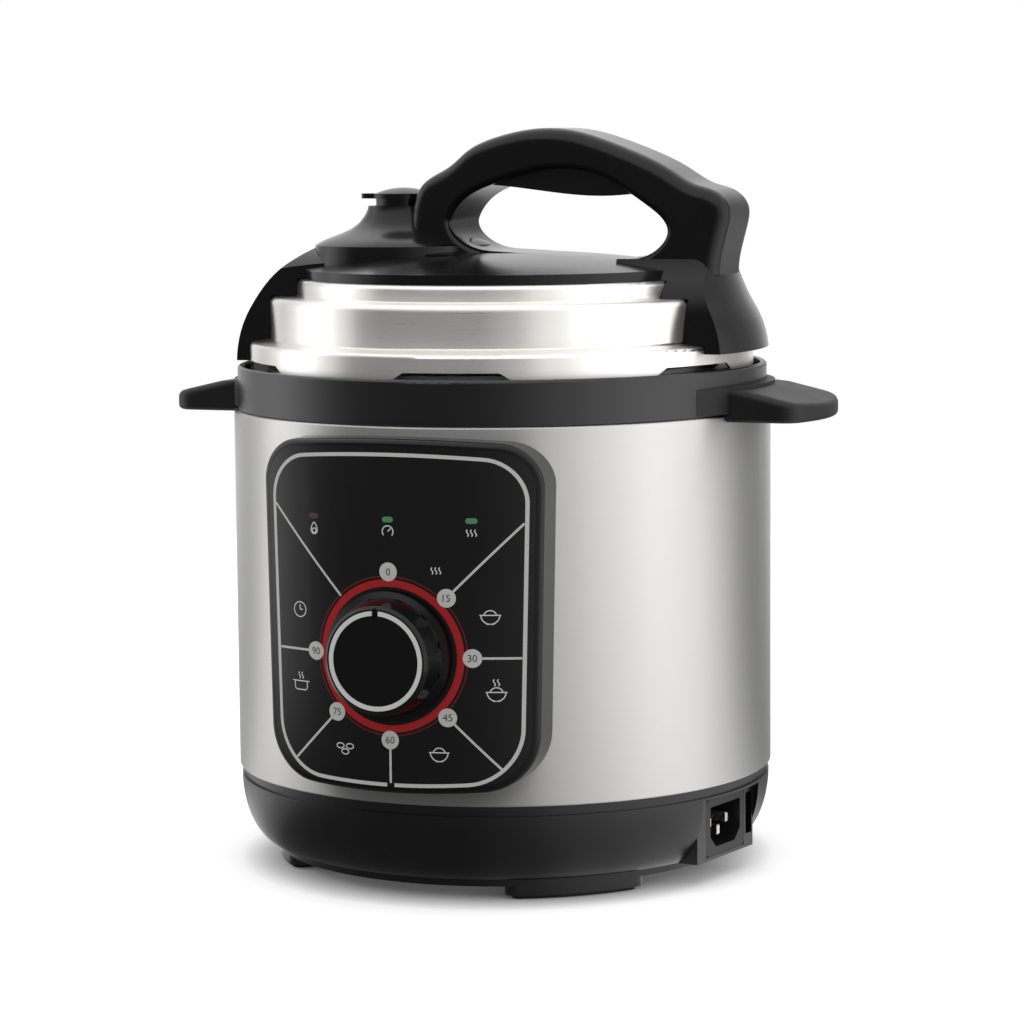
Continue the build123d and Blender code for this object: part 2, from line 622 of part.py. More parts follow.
# ================================================================ control panel
PANEL_TOP_CORNER = 17.0
PANEL_LOW_CORNER = 22.0
PANEL_EDGE = 2.5
BOSS_R = 4.0
LENS_SIZE = (4.4, 2.2)
LENS_ROUND = 1.05
NECK_R = 5.0
NUT_THICK = 2.0
BOARD_THICK = 1.6
RING_DEPTH = 0.8           # bright ring on the knob's face
RING_WIDTH = 2.0
cavity_r = panel_face_r - FACE_THICK - PANEL_WALL
timer_back_y = -(liner_outer_r + 1.0)
timer_front_y = -(sqrt(cavity_r ** 2 - (TIMER_WIDTH / 2) ** 2) - 0.5)
board_y = -(sqrt(cavity_r ** 2 - (LIGHT_PITCH + 4) ** 2) - 3.0)


def panel_outline(inset):
    """The panel's barrel shape, seen from the front, drawn in X and Z."""
    top_half, low_half = PANEL_HALF_TOP - inset, PANEL_HALF_LOW - inset
    low = shell_z + PANEL_BASE + PANEL_ARCH + inset
    top = shell_z + PANEL_BASE + PANEL_HEIGHT - PANEL_ARCH - inset
    line = Line((low_half, low), (top_half, top))
    line += ThreePointArc((top_half, top), (0, top + PANEL_ARCH), (-top_half, top))
    line += Line((-top_half, top), (-low_half, low))
    line += ThreePointArc((-low_half, low), (0, low - PANEL_ARCH), (low_half, low))
    face = make_face(line)
    face = fillet(face.vertices().group_by(Axis.Y)[-1], PANEL_TOP_CORNER - inset)
    sharp = [v for v in face.vertices() if abs(v.Y - low) < 0.01]
    return fillet(sharp, PANEL_LOW_CORNER - inset)


def panel_slab(inset, r_in, r_out):
    """The outline cut out of a ring about the body axis, on the front side."""
    slab = extrude(Plane.XZ * panel_outline(inset), 2 * panel_face_r)
    return slab & tube(r_out, r_in, shell_z, rim_z)


def lens_shape(grow):
    width, height = LENS_SIZE
    return RectangleRounded(width + 2 * grow, height + 2 * grow, LENS_ROUND + grow * 0.9)


def lens_bars(grow, y_back):
    bars = []
    for x in (-LIGHT_PITCH, 0, LIGHT_PITCH):
        bar = extrude(Plane.XZ * Pos(x, light_z) * lens_shape(grow), 2 * panel_face_r)
        behind = Box(500, 500, 500, align=(Align.CENTER, Align.MIN, Align.CENTER))
        bars.append(bar - Pos(0, y_back, 0) * behind)
    return bars


def panel_bezel():
    body = panel_slab(0, shell_outer_r + SEAT_GAP, panel_face_r)
    front = body.edges().filter_by(lambda e: e.distance_to(Vertex(0, 0, e.center().Z)) > panel_face_r - 0.6)
    body = fillet(front, PANEL_EDGE)
    body -= panel_slab(PANEL_MARGIN, panel_face_r - FACE_THICK, panel_face_r + 5)
    body -= panel_slab(PANEL_WALL, shell_inner_r - 5, cavity_r)
    keep = tube(panel_face_r - FACE_THICK - 1, shell_outer_r + SEAT_GAP, shell_z, rim_z)
    for x, z in panel_screw_places():
        boss = Pos(x, 0, z) * Rot(90, 0, 0) * Cylinder(BOSS_R, panel_face_r, align=UP)
        body += boss & keep
        reach = PANEL_SCREW_LENGTH + 0.4
        bore = Cylinder(PANEL_SCREW_R + RUN_FIT, reach, align=UP)
        body -= Pos(x, panel_screw_y, z) * Rot(90, 0, 0) * bore
    body -= Pos(0, -cavity_r, dial_z) * Rot(90, 0, 0) * Cylinder(NECK_R + GAP, 40)
    for bar in lens_bars(RUN_FIT, -shell_outer_r):
        body -= bar
    return body


def panel_face():
    face = panel_slab(PANEL_MARGIN + SEAT_GAP, panel_face_r - FACE_THICK, panel_face_r)
    face -= Pos(0, -cavity_r, dial_z) * Rot(90, 0, 0) * Cylinder(NECK_R + GAP, 40)
    for bar in lens_bars(RUN_FIT, -shell_outer_r):
        face -= bar
    return face


def indicator_lenses():
    within = tube(panel_face_r + 0.1, 50, shell_z, rim_z)
    return [bar & within for bar in lens_bars(0, board_y - 2.5)]


def indicator_leds():
    leds = []
    for x in (-LIGHT_PITCH, 0, LIGHT_PITCH):
        leds.append(Pos(x, board_y, light_z) * Rot(90, 0, 0) * Cylinder(1.5, 2.4, align=UP))
    return leds


def indicator_board():
    width = 2 * LIGHT_PITCH + 8
    board = Pos(0, board_y + BOARD_THICK / 2, light_z) * Box(width, BOARD_THICK, 18)
    return fillet(board.edges().filter_by(Axis.Y), 1.5)


def timer_switch():
    depth = timer_back_y - timer_front_y
    body = Pos(0, (timer_back_y + timer_front_y) / 2, dial_z) * Box(TIMER_WIDTH, depth, TIMER_HEIGHT)
    body = fillet(body.edges().filter_by(Axis.Y), 3.0)
    neck_front = -(panel_face_r + NUT_THICK + 0.4)
    neck = Cylinder(NECK_R, timer_front_y + 1 - neck_front, align=UP)
    neck = Pos(0, timer_front_y + 1, dial_z) * Rot(90, 0, 0) * neck
    body += neck
    bore = Pos(0, timer_back_y - 6, dial_z) * Rot(90, 0, 0) * Cylinder(SHAFT_R + RUN_FIT, 60, align=UP)
    return body - bore


def timer_nut():
    nut = extrude(RegularPolygon(8.0, 6), NUT_THICK) - Cylinder(NECK_R + RUN_FIT, 20)
    return Pos(0, -panel_face_r, dial_z) * Rot(90, 0, 0) * nut


def timer_shaft():
    start = timer_back_y - 6.5
    end = -(panel_face_r + KNOB_GAP + KNOB_LENGTH - 3.0)
    shaft = Pos(0, start, dial_z) * Rot(90, 0, 0) * Cylinder(SHAFT_R, start - end, align=UP)
    flat = Pos(0, end, dial_z + SHAFT_R + 1.0) * Box(10, 14, 3.0)
    return shaft - flat


def knob_place():
    return Plane(origin=(0, -(panel_face_r + KNOB_GAP), dial_z), x_dir=(1, 0, 0), z_dir=(0, -1, 0))


def knob():
    flange, waist, front = 2.2, KNOB_R - 1.0, KNOB_R - 3.0
    outline = Polyline(
        (0, 0), (KNOB_R + 1.2, 0), (KNOB_R + 1.2, flange - 0.6), (waist, flange + 0.4),
        (front, KNOB_LENGTH - 1.2), (front - 1.2, KNOB_LENGTH), (0, KNOB_LENGTH), close=True,
    )
    body = revolve(Plane.XZ * make_face(outline), Axis.Z)
    for i in range(KNOB_LOBES):
        groove = Rot(0, 0, (i + 0.5) * 360 / KNOB_LOBES) * Pos(KNOB_R + 3.6, 0, flange + 0.4)
        body -= groove * Cylinder(5.0, KNOB_LENGTH, align=UP)
    ring = Pos(0, 0, KNOB_LENGTH - RING_DEPTH) * Cylinder(KNOB_FACE_R, 3, align=UP)
    body -= ring - Cylinder(KNOB_FACE_R - RING_WIDTH, 60)
    body -= Pos(0, KNOB_FACE_R, KNOB_LENGTH) * Box(1.2, 6.0, 0.8)
    hollow = Cylinder(KNOB_R - 4.5, KNOB_LENGTH - 4.5, align=UP)
    hollow -= Cylinder(SHAFT_R + 2.2, KNOB_LENGTH, align=UP)
    body -= Pos(0, 0, -0.01) * hollow
    neck = NUT_THICK + 0.4 - KNOB_GAP + 0.6
    body -= Pos(0, 0, -0.01) * Cylinder(SHAFT_R + 3, neck, align=UP)
    body -= Pos(0, 0, -0.01) * Cylinder(SHAFT_R + 0.03, KNOB_LENGTH - 3.0 + 0.1, align=UP)
    return knob_place() * body


def knob_ring():
    ring = Cylinder(KNOB_FACE_R - SEAT_GAP, RING_DEPTH, align=UP)
    ring -= Cylinder(KNOB_FACE_R - RING_WIDTH + SEAT_GAP, 10)
    ring -= Pos(0, KNOB_FACE_R, 0) * Box(2.6, 8.0, 4.0)
    return knob_place() * Pos(0, 0, KNOB_LENGTH - RING_DEPTH) * ring


def panel_screws():
    screws = []
    for x, z in panel_screw_places():
        head = screw(PANEL_SCREW_R, PANEL_SCREW_LENGTH, PANEL_SCREW_HEAD_R, 1.8)
        screws.append(Pos(x, panel_screw_y, z) * Rot(-90, 0, 0) * head)
    return screws


# ================================================================ lid
STUD_R = 4.0
RING_LIP = 8.0            # radial depth of the sealing ring
RING_FIT = 0.4
RING_HEIGHT = 9.0
RING_WALL = 2.4
SUPPORT_THICK = 1.2
SUPPORT_DROP = 5.0        # support plate below the top of the band
PIPE_R = 4.5
PIPE_BORE_R = 1.5
PIPE_RISE = 16.0
CORE_R = 8.0
CAP_NECK_R = 11.4          # valve cap
CAP_R = 12.6
FLAG_REACH = 18.0
COVER_SCREW_AT = 62.0
COVER_SCREW_R = 1.6
COVER_SCREW_HEAD_R = 3.2
COVER_SCREW_ANGLES = (60.0, 180.0, 300.0)
BUSH_R = 5.0
PIN_R = 2.0
PIN_COLLAR = 1.4
support_z = rim_z - SUPPORT_DROP
ring_outer_r = POT_INNER_R - RING_FIT
support_r = ring_outer_r - RING_WALL - GAP


def lid_outline(inset):
    """Half section of the lid's outer skin, moved inwards by inset."""
    points = [
        (0, tooth_z - 30), (lid_skirt_r - inset, tooth_z - 30), (lid_skirt_r - inset, lid_flange_z - inset),
        (lid_mid_r - inset, lid_flange_z + 1.2 - inset), (lid_mid_r - inset, lid_mid_z - inset),
        (lid_top_r - inset, lid_mid_z + 0.3 - inset), (lid_top_r - inset, lid_top_z - inset),
        (0, lid_top_z - inset),
    ]
    grow = max(-inset, 0)
    radii = (0, 0, 1.6 + grow, 0.8, 2.6 + grow, 0.8, 2.0 + grow, 0)
    return turned(*points, radii=radii)


def lid_shell():
    lid = lid_outline(0) - lid_outline(LID_WALL)
    lid -= disc(lid_skirt_r + 5, 0, tooth_z)
    inner = lid_skirt_r - LID_WALL - TOOTH_REACH
    lid += tube(lid_skirt_r - LID_WALL + 0.1, inner, tooth_z, tooth_z + TOOTH_THICK)
    half_top = lid_skirt_r * sin(radians(10.6))
    slot_top = rim_z + SLOT_TOP_RISE
    outline = Polyline(
        (-half_top - 4.4, tooth_z - 1), (half_top + 4.4, tooth_z - 1), (half_top + 4.4, rim_z - 0.4),
        (half_top, slot_top), (-half_top, slot_top), (-half_top - 4.4, rim_z - 0.4), close=True,
    )
    slot = extrude(Plane.YZ * make_face(outline), lid_skirt_r + 10) - disc(inner - 3, 0, lid_top_z)
    for cut in around(slot, LUG_COUNT, LUG_FIRST_ANGLE):
        lid -= cut
    lid -= disc(PIPE_R + RUN_FIT, lid_mid_z, lid_top_z + 1, VALVE_X)
    lid -= disc(BUSH_R - 1.2, lid_mid_z, lid_top_z + 1, FLOAT_X, FLOAT_Y)
    for angle in COVER_SCREW_ANGLES:
        lid -= Rot(0, 0, angle) * disc(COVER_SCREW_R + GAP, lid_mid_z, lid_top_z + 1, COVER_SCREW_AT)
    return lid


def lid_stud():
    top = lid_top_z - LID_WALL
    stud = disc(7.0, support_z + SUPPORT_THICK, top) + disc(STUD_R, support_z - 5.0, top)
    return stud + disc(14.0, top - 1.5, top)


def support_plate():
    plate = disc(support_r, support_z, support_z + SUPPORT_THICK)
    plate += turned(
        (30, support_z), (36, support_z + 4), (52, support_z + 4), (58, support_z),
        (58, support_z + SUPPORT_THICK), (52, support_z + 4 + SUPPORT_THICK),
        (36, support_z + 4 + SUPPORT_THICK), (30, support_z + SUPPORT_THICK),
    )
    plate -= turned(
        (31.5, support_z - 1), (36.6, support_z + 4), (51.4, support_z + 4), (56.5, support_z - 1),
    )
    plate -= disc(STUD_R + RUN_FIT, support_z - 1, support_z + 6)
    for hole in around(disc(4.0, support_z - 1, support_z + 9, 68), 8, 22.5):
        plate -= hole
    for hole in around(disc(6.0, support_z - 1, support_z + 9, 44), 6):
        plate -= hole
    return plate


def support_nut():
    nut = disc(11.0, support_z - 7.0, support_z) - disc(STUD_R + RUN_FIT, support_z - 5.5, support_z + 1)
    for groove in around(disc(2.0, support_z - 8, support_z + 1, 12.2), 10):
        nut -= groove
    return nut


def sealing_ring():
    middle = support_z + SUPPORT_THICK / 2
    low, high = middle - RING_HEIGHT / 2, middle + RING_HEIGHT / 2
    slot_low, slot_high = support_z - GAP, support_z + SUPPORT_THICK + GAP
    inner, web = ring_outer_r - RING_LIP, support_r + GAP
    return turned(
        (inner, low), (ring_outer_r, low), (ring_outer_r, high), (inner, high),
        (inner, slot_high), (web, slot_high), (web, slot_low), (inner, slot_low),
        radii=(0.8, 0.8, 0.8, 0.8, 0, 0, 0, 0),
    )


def vent_pipe():
    under = lid_top_z - LID_WALL
    top = lid_top_z + PIPE_RISE
    pipe = disc(PIPE_R, under - 8, top - 2, VALVE_X)
    pipe += Pos(VALVE_X, 0, top - 2) * Cone(PIPE_R, PIPE_R - 2, 2, align=UP)
    pipe += Pos(VALVE_X, 0, lid_top_z) * extrude(RegularPolygon(7.5, 6), 3.0)
    return pipe - disc(PIPE_BORE_R, under - 10, top + 1, VALVE_X)


def vent_nut():
    under = lid_top_z - LID_WALL
    nut = Pos(VALVE_X, 0, under - 3.0) * extrude(RegularPolygon(7.0, 6), 3.0)
    return nut - disc(PIPE_R + RUN_FIT, under - 5, under + 1, VALVE_X)


def vent_shield():
    """Slotted cap that keeps food out of the vent pipe."""
    under = lid_top_z - LID_WALL - 3.0
    cap = disc(9.0, under - 9.0, under, VALVE_X) - disc(7.8, under - 7.8, under - 1.2, VALVE_X)
    cap -= disc(PIPE_R + RUN_FIT, under - 3, under + 1, VALVE_X)
    slit = Pos(9, 0, under - 7.0) * Box(8, 2.0, 5.0, align=UP)
    for i in range(8):
        cap -= Pos(VALVE_X, 0, 0) * Rot(0, 0, i * 45) * slit
    return cap


def valve_weight():
    seat = lid_top_z + PIPE_RISE
    low = lid_top_z + 5.0
    top = lid_top_z + BOSS_RISE - 1.5
    core = disc(CORE_R, low, top, VALVE_X)
    core -= disc(PIPE_R + RUN_FIT, low - 1, seat - 2, VALVE_X)
    return core - Pos(VALVE_X, 0, seat - 2) * Cone(PIPE_R + RUN_FIT, PIPE_R - 2 + RUN_FIT, 2, align=UP)


def valve_knob():
    boss_top = lid_top_z + BOSS_RISE
    low, neck_top = boss_top - 17.0, boss_top + 3.4
    cap = Pos(VALVE_X, 0, 0) * (
        disc(CAP_NECK_R, low, neck_top) + disc(CAP_R, neck_top - 0.5, neck_top + 1.6)
    )
    dome_rise = 2.4
    sphere_r = ((CAP_R - 1) ** 2 + dome_rise ** 2) / (2 * dome_rise)
    ball = Pos(VALVE_X, 0, neck_top + 1.6 + dome_rise - sphere_r) * Sphere(sphere_r)
    cap += ball & disc(CAP_R - 1, neck_top + 1, neck_top + 10, VALVE_X)
    flag = Pos(VALVE_X - FLAG_REACH / 2, 0, neck_top - 0.5) * Box(FLAG_REACH, 9.0, 2.1, align=UP)
    cap += fillet(flag.edges().filter_by(Axis.Z).group_by(Axis.X)[0], 3.0)
    return cap - disc(CORE_R + RUN_FIT, low - 1, boss_top - 1.4, VALVE_X)


def float_bush():
    under = lid_top_z - LID_WALL
    bush = disc(BUSH_R, under - 2.0, under, FLOAT_X, FLOAT_Y)
    bush += disc(BUSH_R, lid_top_z, lid_top_z + 2.0, FLOAT_X, FLOAT_Y)
    bush += disc(BUSH_R - 1.2 - RUN_FIT, under - 1, lid_top_z + 1, FLOAT_X, FLOAT_Y)
    return bush - disc(PIN_R + RUN_FIT, under - 5, lid_top_z + 5, FLOAT_X, FLOAT_Y)


def float_pin():
    under = lid_top_z - LID_WALL
    low = under - 2.0 - FLOAT_TRAVEL - GAP
    pin = disc(PIN_R, low - 3, cover_top(FLOAT_X, FLOAT_Y) - 1.0, FLOAT_X, FLOAT_Y)
    pin += disc(BUSH_R - 0.8, low - 3, low, FLOAT_X, FLOAT_Y)
    return pin + disc(PIN_R + PIN_COLLAR, lid_top_z + 2.0, lid_top_z + 3.4, FLOAT_X, FLOAT_Y)


# ================================================================ lid cover
def cover_top(x, y):
    """Height of the cover's dome above a point."""
    return lid_top_z + COVER_EDGE + COVER_DOME * (1 - (x * x + y * y) / cover_r ** 2)


SPINE_FLARE = 3.0         # extra half width at the foot of the skirts
LEFT_SKIRT_RISE = 0.9     # skirt ends above the top of the band
RIGHT_SKIRT_RISE = 6.4
ARCH_EDGE = 6.0
OPENING_EDGE = 3.0
ARCH_DRAWN = (135.0, 60.4)    # length and rise that the arch outline is drawn at
# Side view of the arch: distance from its root and height above the lid's top.
ARCH_PLACES = (
    (0, 2), (-0.3, 15), (0.6, 28.5), (5.0, 38.2), (16.5, 45.2), (24.5, 51.6), (37.5, 57.2), (55.5, 60.4),
    (71.5, 59.2), (82, 56.2), (95.5, 51.2), (110.5, 44.0), (121, 38.0), (129.5, 35.2), (135.2, 29.0),
    (134.6, 20.2), (132, 10.2), (131.2, 2),
)
# Distance outside the lid skirt and height above the band, down the skirts.
LEFT_STAND = (
    (6.7, 0.5), (5.9, 8.8), (2.7, 18.8), (-1.6, 26.3), (-11.8, 38.2), (-25.5, 46.8), (-41.0, 51.0),
)
RIGHT_STAND = ((6.6, 0.5), (5.9, 9.0), (3.2, 18.3), (-1.4, 27.0), (-5.3, 36.6), (-12.0, 43.0))
# Place along the cover as a share of its radius, rise of the edges, rise of the crown.
SPINE_SECTIONS = (
    (-1.44, -9.0, 6.2), (-1.15, 2.7, 13.2), (-0.71, 7.2, 15.2), (-0.34, 9.8, 13.2), (0.0, 8.7, 9.7),
)
GRIP_HALF_WIDTH = 12.5
GRIP_FIT = 0.15
root_x = VALVE_X + 9.5
arch_end_x = lid_skirt_r - 1.5


def arch_at(x, z):
    """A point of the side view, from the arch's root and the lid's top."""
    return (root_x + x * (arch_end_x - root_x) / ARCH_DRAWN[0], lid_top_z + z * HANDLE_RISE / ARCH_DRAWN[1])


def cover_dome(inset):
    """Shallow spherical cap over a short cylinder."""
    radius = cover_r - inset
    top = lid_top_z + COVER_EDGE + COVER_DOME - inset
    sphere_r = (cover_r ** 2 + COVER_DOME ** 2) / (2 * COVER_DOME)
    return disc(radius, lid_top_z, top + 1) & Pos(0, 0, top - sphere_r) * Sphere(sphere_r)


def skirt_limit(inset, stand):
    """Solid of revolution that shapes the outside of a skirt."""
    foot = rim_z - 1.0
    points = [(lid_skirt_r + r - inset, rim_z + z) for r, z in stand]
    curve = Spline(*points, tangents=((0, 1), (-1, 0.15)))
    low = (points[0][0], foot)
    top = (0, points[-1][1])
    line = Line((0, foot), low) + Line(low, points[0]) + curve + Line(points[-1], top)
    return turn(make_face(line + Line(top, (0, foot))))


def left_spine(inset):
    """Crowned ridge from the left skirt to the middle of the cover."""
    foot = rim_z + LEFT_SKIRT_RISE
    half, flare = SPINE_HALF_WIDTH - inset, SPINE_FLARE
    sections = []
    for x, edge, crown in SPINE_SECTIONS:
        e, c = lid_top_z + edge - inset, lid_top_z + crown - inset
        line = Polyline((half, e), (half + flare, foot), (-half - flare, foot), (-half, e))
        line += ThreePointArc((-half, e), (0, c), (half, e))
        plane = Plane(origin=(x * cover_r, 0, 0), x_dir=(0, 1, 0), z_dir=(1, 0, 0))
        sections.append(plane * make_face(line))
    return loft(sections) & skirt_limit(inset, LEFT_STAND)


def right_spine(inset):
    """Flared skirt below the handle's right leg."""
    foot, half = rim_z + RIGHT_SKIRT_RISE, HANDLE_HALF_WIDTH - inset
    start = lid_mid_r * 0.6
    wide = ((SPINE_FLARE + 11.5, 0), (11.5, 19.5), (8.5, 26), (3.5, 31.5), (0.5, 37.0))
    right = [(half + w, foot + z) for w, z in wide]
    left = [(-y, z) for y, z in reversed(right)]
    line = Spline(*right) + Line(right[-1], left[0]) + Spline(*left) + Line(left[-1], right[0])
    wall = Pos(start, 0, 0) * extrude(Plane.YZ * make_face(line), lid_skirt_r + 20 - start)
    return wall & skirt_limit(inset, RIGHT_STAND)


def boss(inset):
    """Flared seat of the steam valve, turned about the valve's axis."""
    points = [(0.0, 29.2), (0.5, 27.2), (1.8, 24.8), (3.9, 22.2), (7.9, 19.4), (15.4, 16.4), (22.0, 13.2)]
    curve = [(BOSS_TOP_R + r - inset, lid_top_z + BOSS_RISE / 29.2 * z - inset) for r, z in points]
    line = Spline(*curve) + Line((0, lid_top_z), (0, curve[0][1])) + Line((0, curve[0][1]), curve[0])
    line += Polyline(curve[-1], (curve[-1][0] + 2, lid_top_z), (0, lid_top_z))
    return Pos(VALVE_X, 0, 0) * turn(make_face(line))


def arch_outer():
    points = [arch_at(x, z) for x, z in ARCH_PLACES]
    return make_face(Spline(*points) + Line(points[-1], points[0]))


def opening_face():
    loop = Spline(
        arch_at(18, 24.2), arch_at(24, 32.1), arch_at(39.5, 39.1), arch_at(61.5, 44.1), arch_at(81.5, 41.7),
        arch_at(99.5, 31.2), arch_at(110.5, 18.8), arch_at(103.5, 10.5), arch_at(88.5, 8.6),
        arch_at(63.5, 9.6),
        arch_at(38.5, 11.0), arch_at(24.5, 14.0), periodic=True,
    )
    return make_face(loop)


def grip_face(grow=0.0):
    """Side view of the insert under the arch, grown all round for its pocket."""
    (x0, z0), (x1, z1) = arch_at(33.5, 37.8), arch_at(95.0, 34.2)
    left, right = (x0 - grow, z0), (x1 + grow, z1)
    (xt, zt), (xl, zl), (xr, zr) = arch_at(63, 51), arch_at(52.5, 35.8), arch_at(73.5, 33.5)
    upper = ThreePointArc(left, (xt, zt + grow), right)
    lower = Spline(left, (xl, zl - grow), (xr, zr - grow), right)
    return make_face(upper + lower)


def arch():
    half = HANDLE_HALF_WIDTH
    body = Pos(0, half, 0) * extrude(Plane.XZ * arch_outer(), 2 * half)
    flat = body.faces().filter_by(Axis.Y)
    body = fillet(flat.edges().filter_by(GeomType.BSPLINE), ARCH_EDGE)
    body -= Pos(0, 2 * half, 0) * extrude(Plane.XZ * opening_face(), 4 * half)
    low, high = root_x + 16, arch_end_x - 20
    edges = body.edges().filter_by(lambda e: abs(abs(e.center().Y) - half) < 0.01)
    inside = edges.filter_by(lambda e: low < e.bounding_box().min.X and e.bounding_box().max.X < high)
    return fillet(inside, OPENING_EDGE)


def cover_screw_posts(radius, z0, z1):
    return around(disc(radius, z0, z1, COVER_SCREW_AT), 3, COVER_SCREW_ANGLES[0])


def lid_clearance():
    """The lid's outside, a little larger and with bevelled steps, cut out of the cover."""
    skirt, middle, top = lid_skirt_r + SEAT_GAP, lid_mid_r + SEAT_GAP, lid_top_r + SEAT_GAP
    flange_z, middle_z, top_z = lid_flange_z + SEAT_GAP, lid_mid_z + SEAT_GAP, lid_top_z + SEAT_GAP
    low, bevel = rim_z - 10, 1.0
    return turned(
        (0, low), (skirt, low), (skirt, flange_z),
        (middle + bevel, flange_z + 1.1), (middle, flange_z + 1.2 + bevel),
        (middle, middle_z), (top + bevel, middle_z + 0.3), (top, middle_z + 0.3 + bevel),
        (top, top_z), (0, top_z),
    )


def cover_body(inset):
    """Dome, left ridge and valve seat, grown together."""
    return cover_dome(inset) + left_spine(inset) + boss(inset)


def lid_cover():
    cover = cover_body(0) + right_spine(0)
    cover -= cover_body(COVER_WALL)
    cover += arch()
    cover -= lid_clearance()
    cover -= disc(CAP_R + 1.2, lid_top_z + BOSS_RISE, lid_top_z + HANDLE_RISE, VALVE_X)
    floor = lid_top_z + SEAT_GAP
    cover += disc(VALVE_HOLE_R + 2.4, floor, lid_top_z + BOSS_RISE - 1, VALVE_X)
    for post in cover_screw_posts(5.0, floor, lid_top_z + COVER_EDGE + 2):
        cover += post
    cover -= disc(VALVE_HOLE_R, lid_top_z - 1, lid_top_z + BOSS_RISE + 5, VALVE_X)
    cover -= disc(PIN_R + PIN_COLLAR + GAP, lid_top_z - 1, lid_top_z + 30, FLOAT_X, FLOAT_Y)
    for hole in cover_screw_posts(COVER_SCREW_R + RUN_FIT, lid_top_z - 1, lid_top_z + COVER_EDGE):
        cover -= hole
    half = GRIP_HALF_WIDTH + GRIP_FIT
    cover -= Pos(0, half, 0) * extrude(Plane.XZ * grip_face(GRIP_FIT), 2 * half)
    for x, z, length in grip_screw_places():
        cover -= disc(COVER_SCREW_R + RUN_FIT, z, z + length + 1, x)
    return cover


def grip_screw_places():
    """Each screw's X, the height of its head's seat, and its length."""
    spots = (arch_at(52, 38.0), arch_at(74, 35.5))
    return [(x, z, 18.0 * HANDLE_RISE / ARCH_DRAWN[1]) for x, z in spots]


def handle_grip():
    body = Pos(0, GRIP_HALF_WIDTH, 0) * extrude(Plane.XZ * grip_face(), 2 * GRIP_HALF_WIDTH)
    for x, z, length in grip_screw_places():
        body -= disc(COVER_SCREW_HEAD_R + GAP, z - 10, z, x)
        body -= disc(COVER_SCREW_R + RUN_FIT, z - 1, z + 30, x)
    return body


def grip_screws():
    screws = []
    for x, z, length in grip_screw_places():
        screws.append(Pos(x, 0, z) * Rot(180, 0, 0) * screw(COVER_SCREW_R, length, COVER_SCREW_HEAD_R, 1.8))
    return screws


def cover_screws():
    upward = Pos(COVER_SCREW_AT, 0, lid_top_z - LID_WALL) * Rot(180, 0, 0)
    one = upward * screw(COVER_SCREW_R, LID_WALL + COVER_EDGE - 0.6, COVER_SCREW_HEAD_R, 1.8)
    return [Rot(0, 0, angle) * one for angle in COVER_SCREW_ANGLES]


# ================================================================ condensate cup
CUP_TOP_DROP = 6.0        # cup rim below the band
RAIL = 2.0
CUP_CORNER = 5.0
BRACKET_PLATE = 3.0
CUP_SCREW_X = 14.0
CUP_SCREW_R = 1.5
HOOD_THICK = 2.4
CHUTE_WIDTH = 12.0
CHUTE_DEPTH = 9.0
cup_top_z = band_z - CUP_TOP_DROP
cup_back_y = shell_outer_r + BRACKET_PLATE + SEAT_GAP
cup_screw_z = cup_top_z - 6.0


def cup_bracket():
    width = CUP_WIDTH + 2 * (RAIL + 2.0)
    low, high = cup_top_z - CUP_HEIGHT * 0.35, cup_top_z + HOOD_THICK + GAP
    reach = cup_back_y + GAP + CUP_DEPTH
    back = shell_outer_r * 0.9
    body = Pos(0, (back + cup_back_y) / 2, low) * Box(width, cup_back_y - back, high - low, align=UP)
    body += Pos(0, (back + reach) / 2, cup_top_z + GAP) * Box(width, reach - back, HOOD_THICK, align=UP)
    rail_low = cup_top_z - 2 * RAIL - GAP
    for side in (-1, 1):
        cheek = Pos(side * (width / 2 - 0.9), (back + reach) / 2, rail_low)
        body += cheek * Box(1.8, reach - back, cup_top_z + 1 - rail_low, align=UP)
        rail = Pos(side * (width / 2 - 1.8), (back + reach) / 2, rail_low)
        body += rail * Box(3.6, reach - back, RAIL, align=UP)
    chute_y = shell_outer_r + CHUTE_DEPTH / 2
    body += Pos(0, chute_y, cup_top_z + 1) * Box(CHUTE_WIDTH, CHUTE_DEPTH, web_z + 1 - cup_top_z, align=UP)
    chute = Box(CHUTE_WIDTH - 4, CHUTE_DEPTH, web_z + 9 - cup_top_z, align=UP)
    body -= Pos(0, chute_y - 2, cup_top_z - 1) * chute
    body -= disc(shell_outer_r + SEAT_GAP, 0, rim_z)
    for x in (-CUP_SCREW_X, CUP_SCREW_X):
        bore = Cylinder(CUP_SCREW_R + RUN_FIT, 8, align=UP)
        body -= Pos(x, cup_back_y - 0.4, cup_screw_z) * Rot(90, 0, 0) * bore
    return body


def cup_screws():
    screws = []
    for x in (-CUP_SCREW_X, CUP_SCREW_X):
        y = sqrt(shell_inner_r ** 2 - (CUP_SCREW_X + 2.8) ** 2)
        screws.append(Pos(x, y, cup_screw_z) * Rot(90, 0, 0) * screw(CUP_SCREW_R, 4.4, 2.8, 1.6))
    return screws


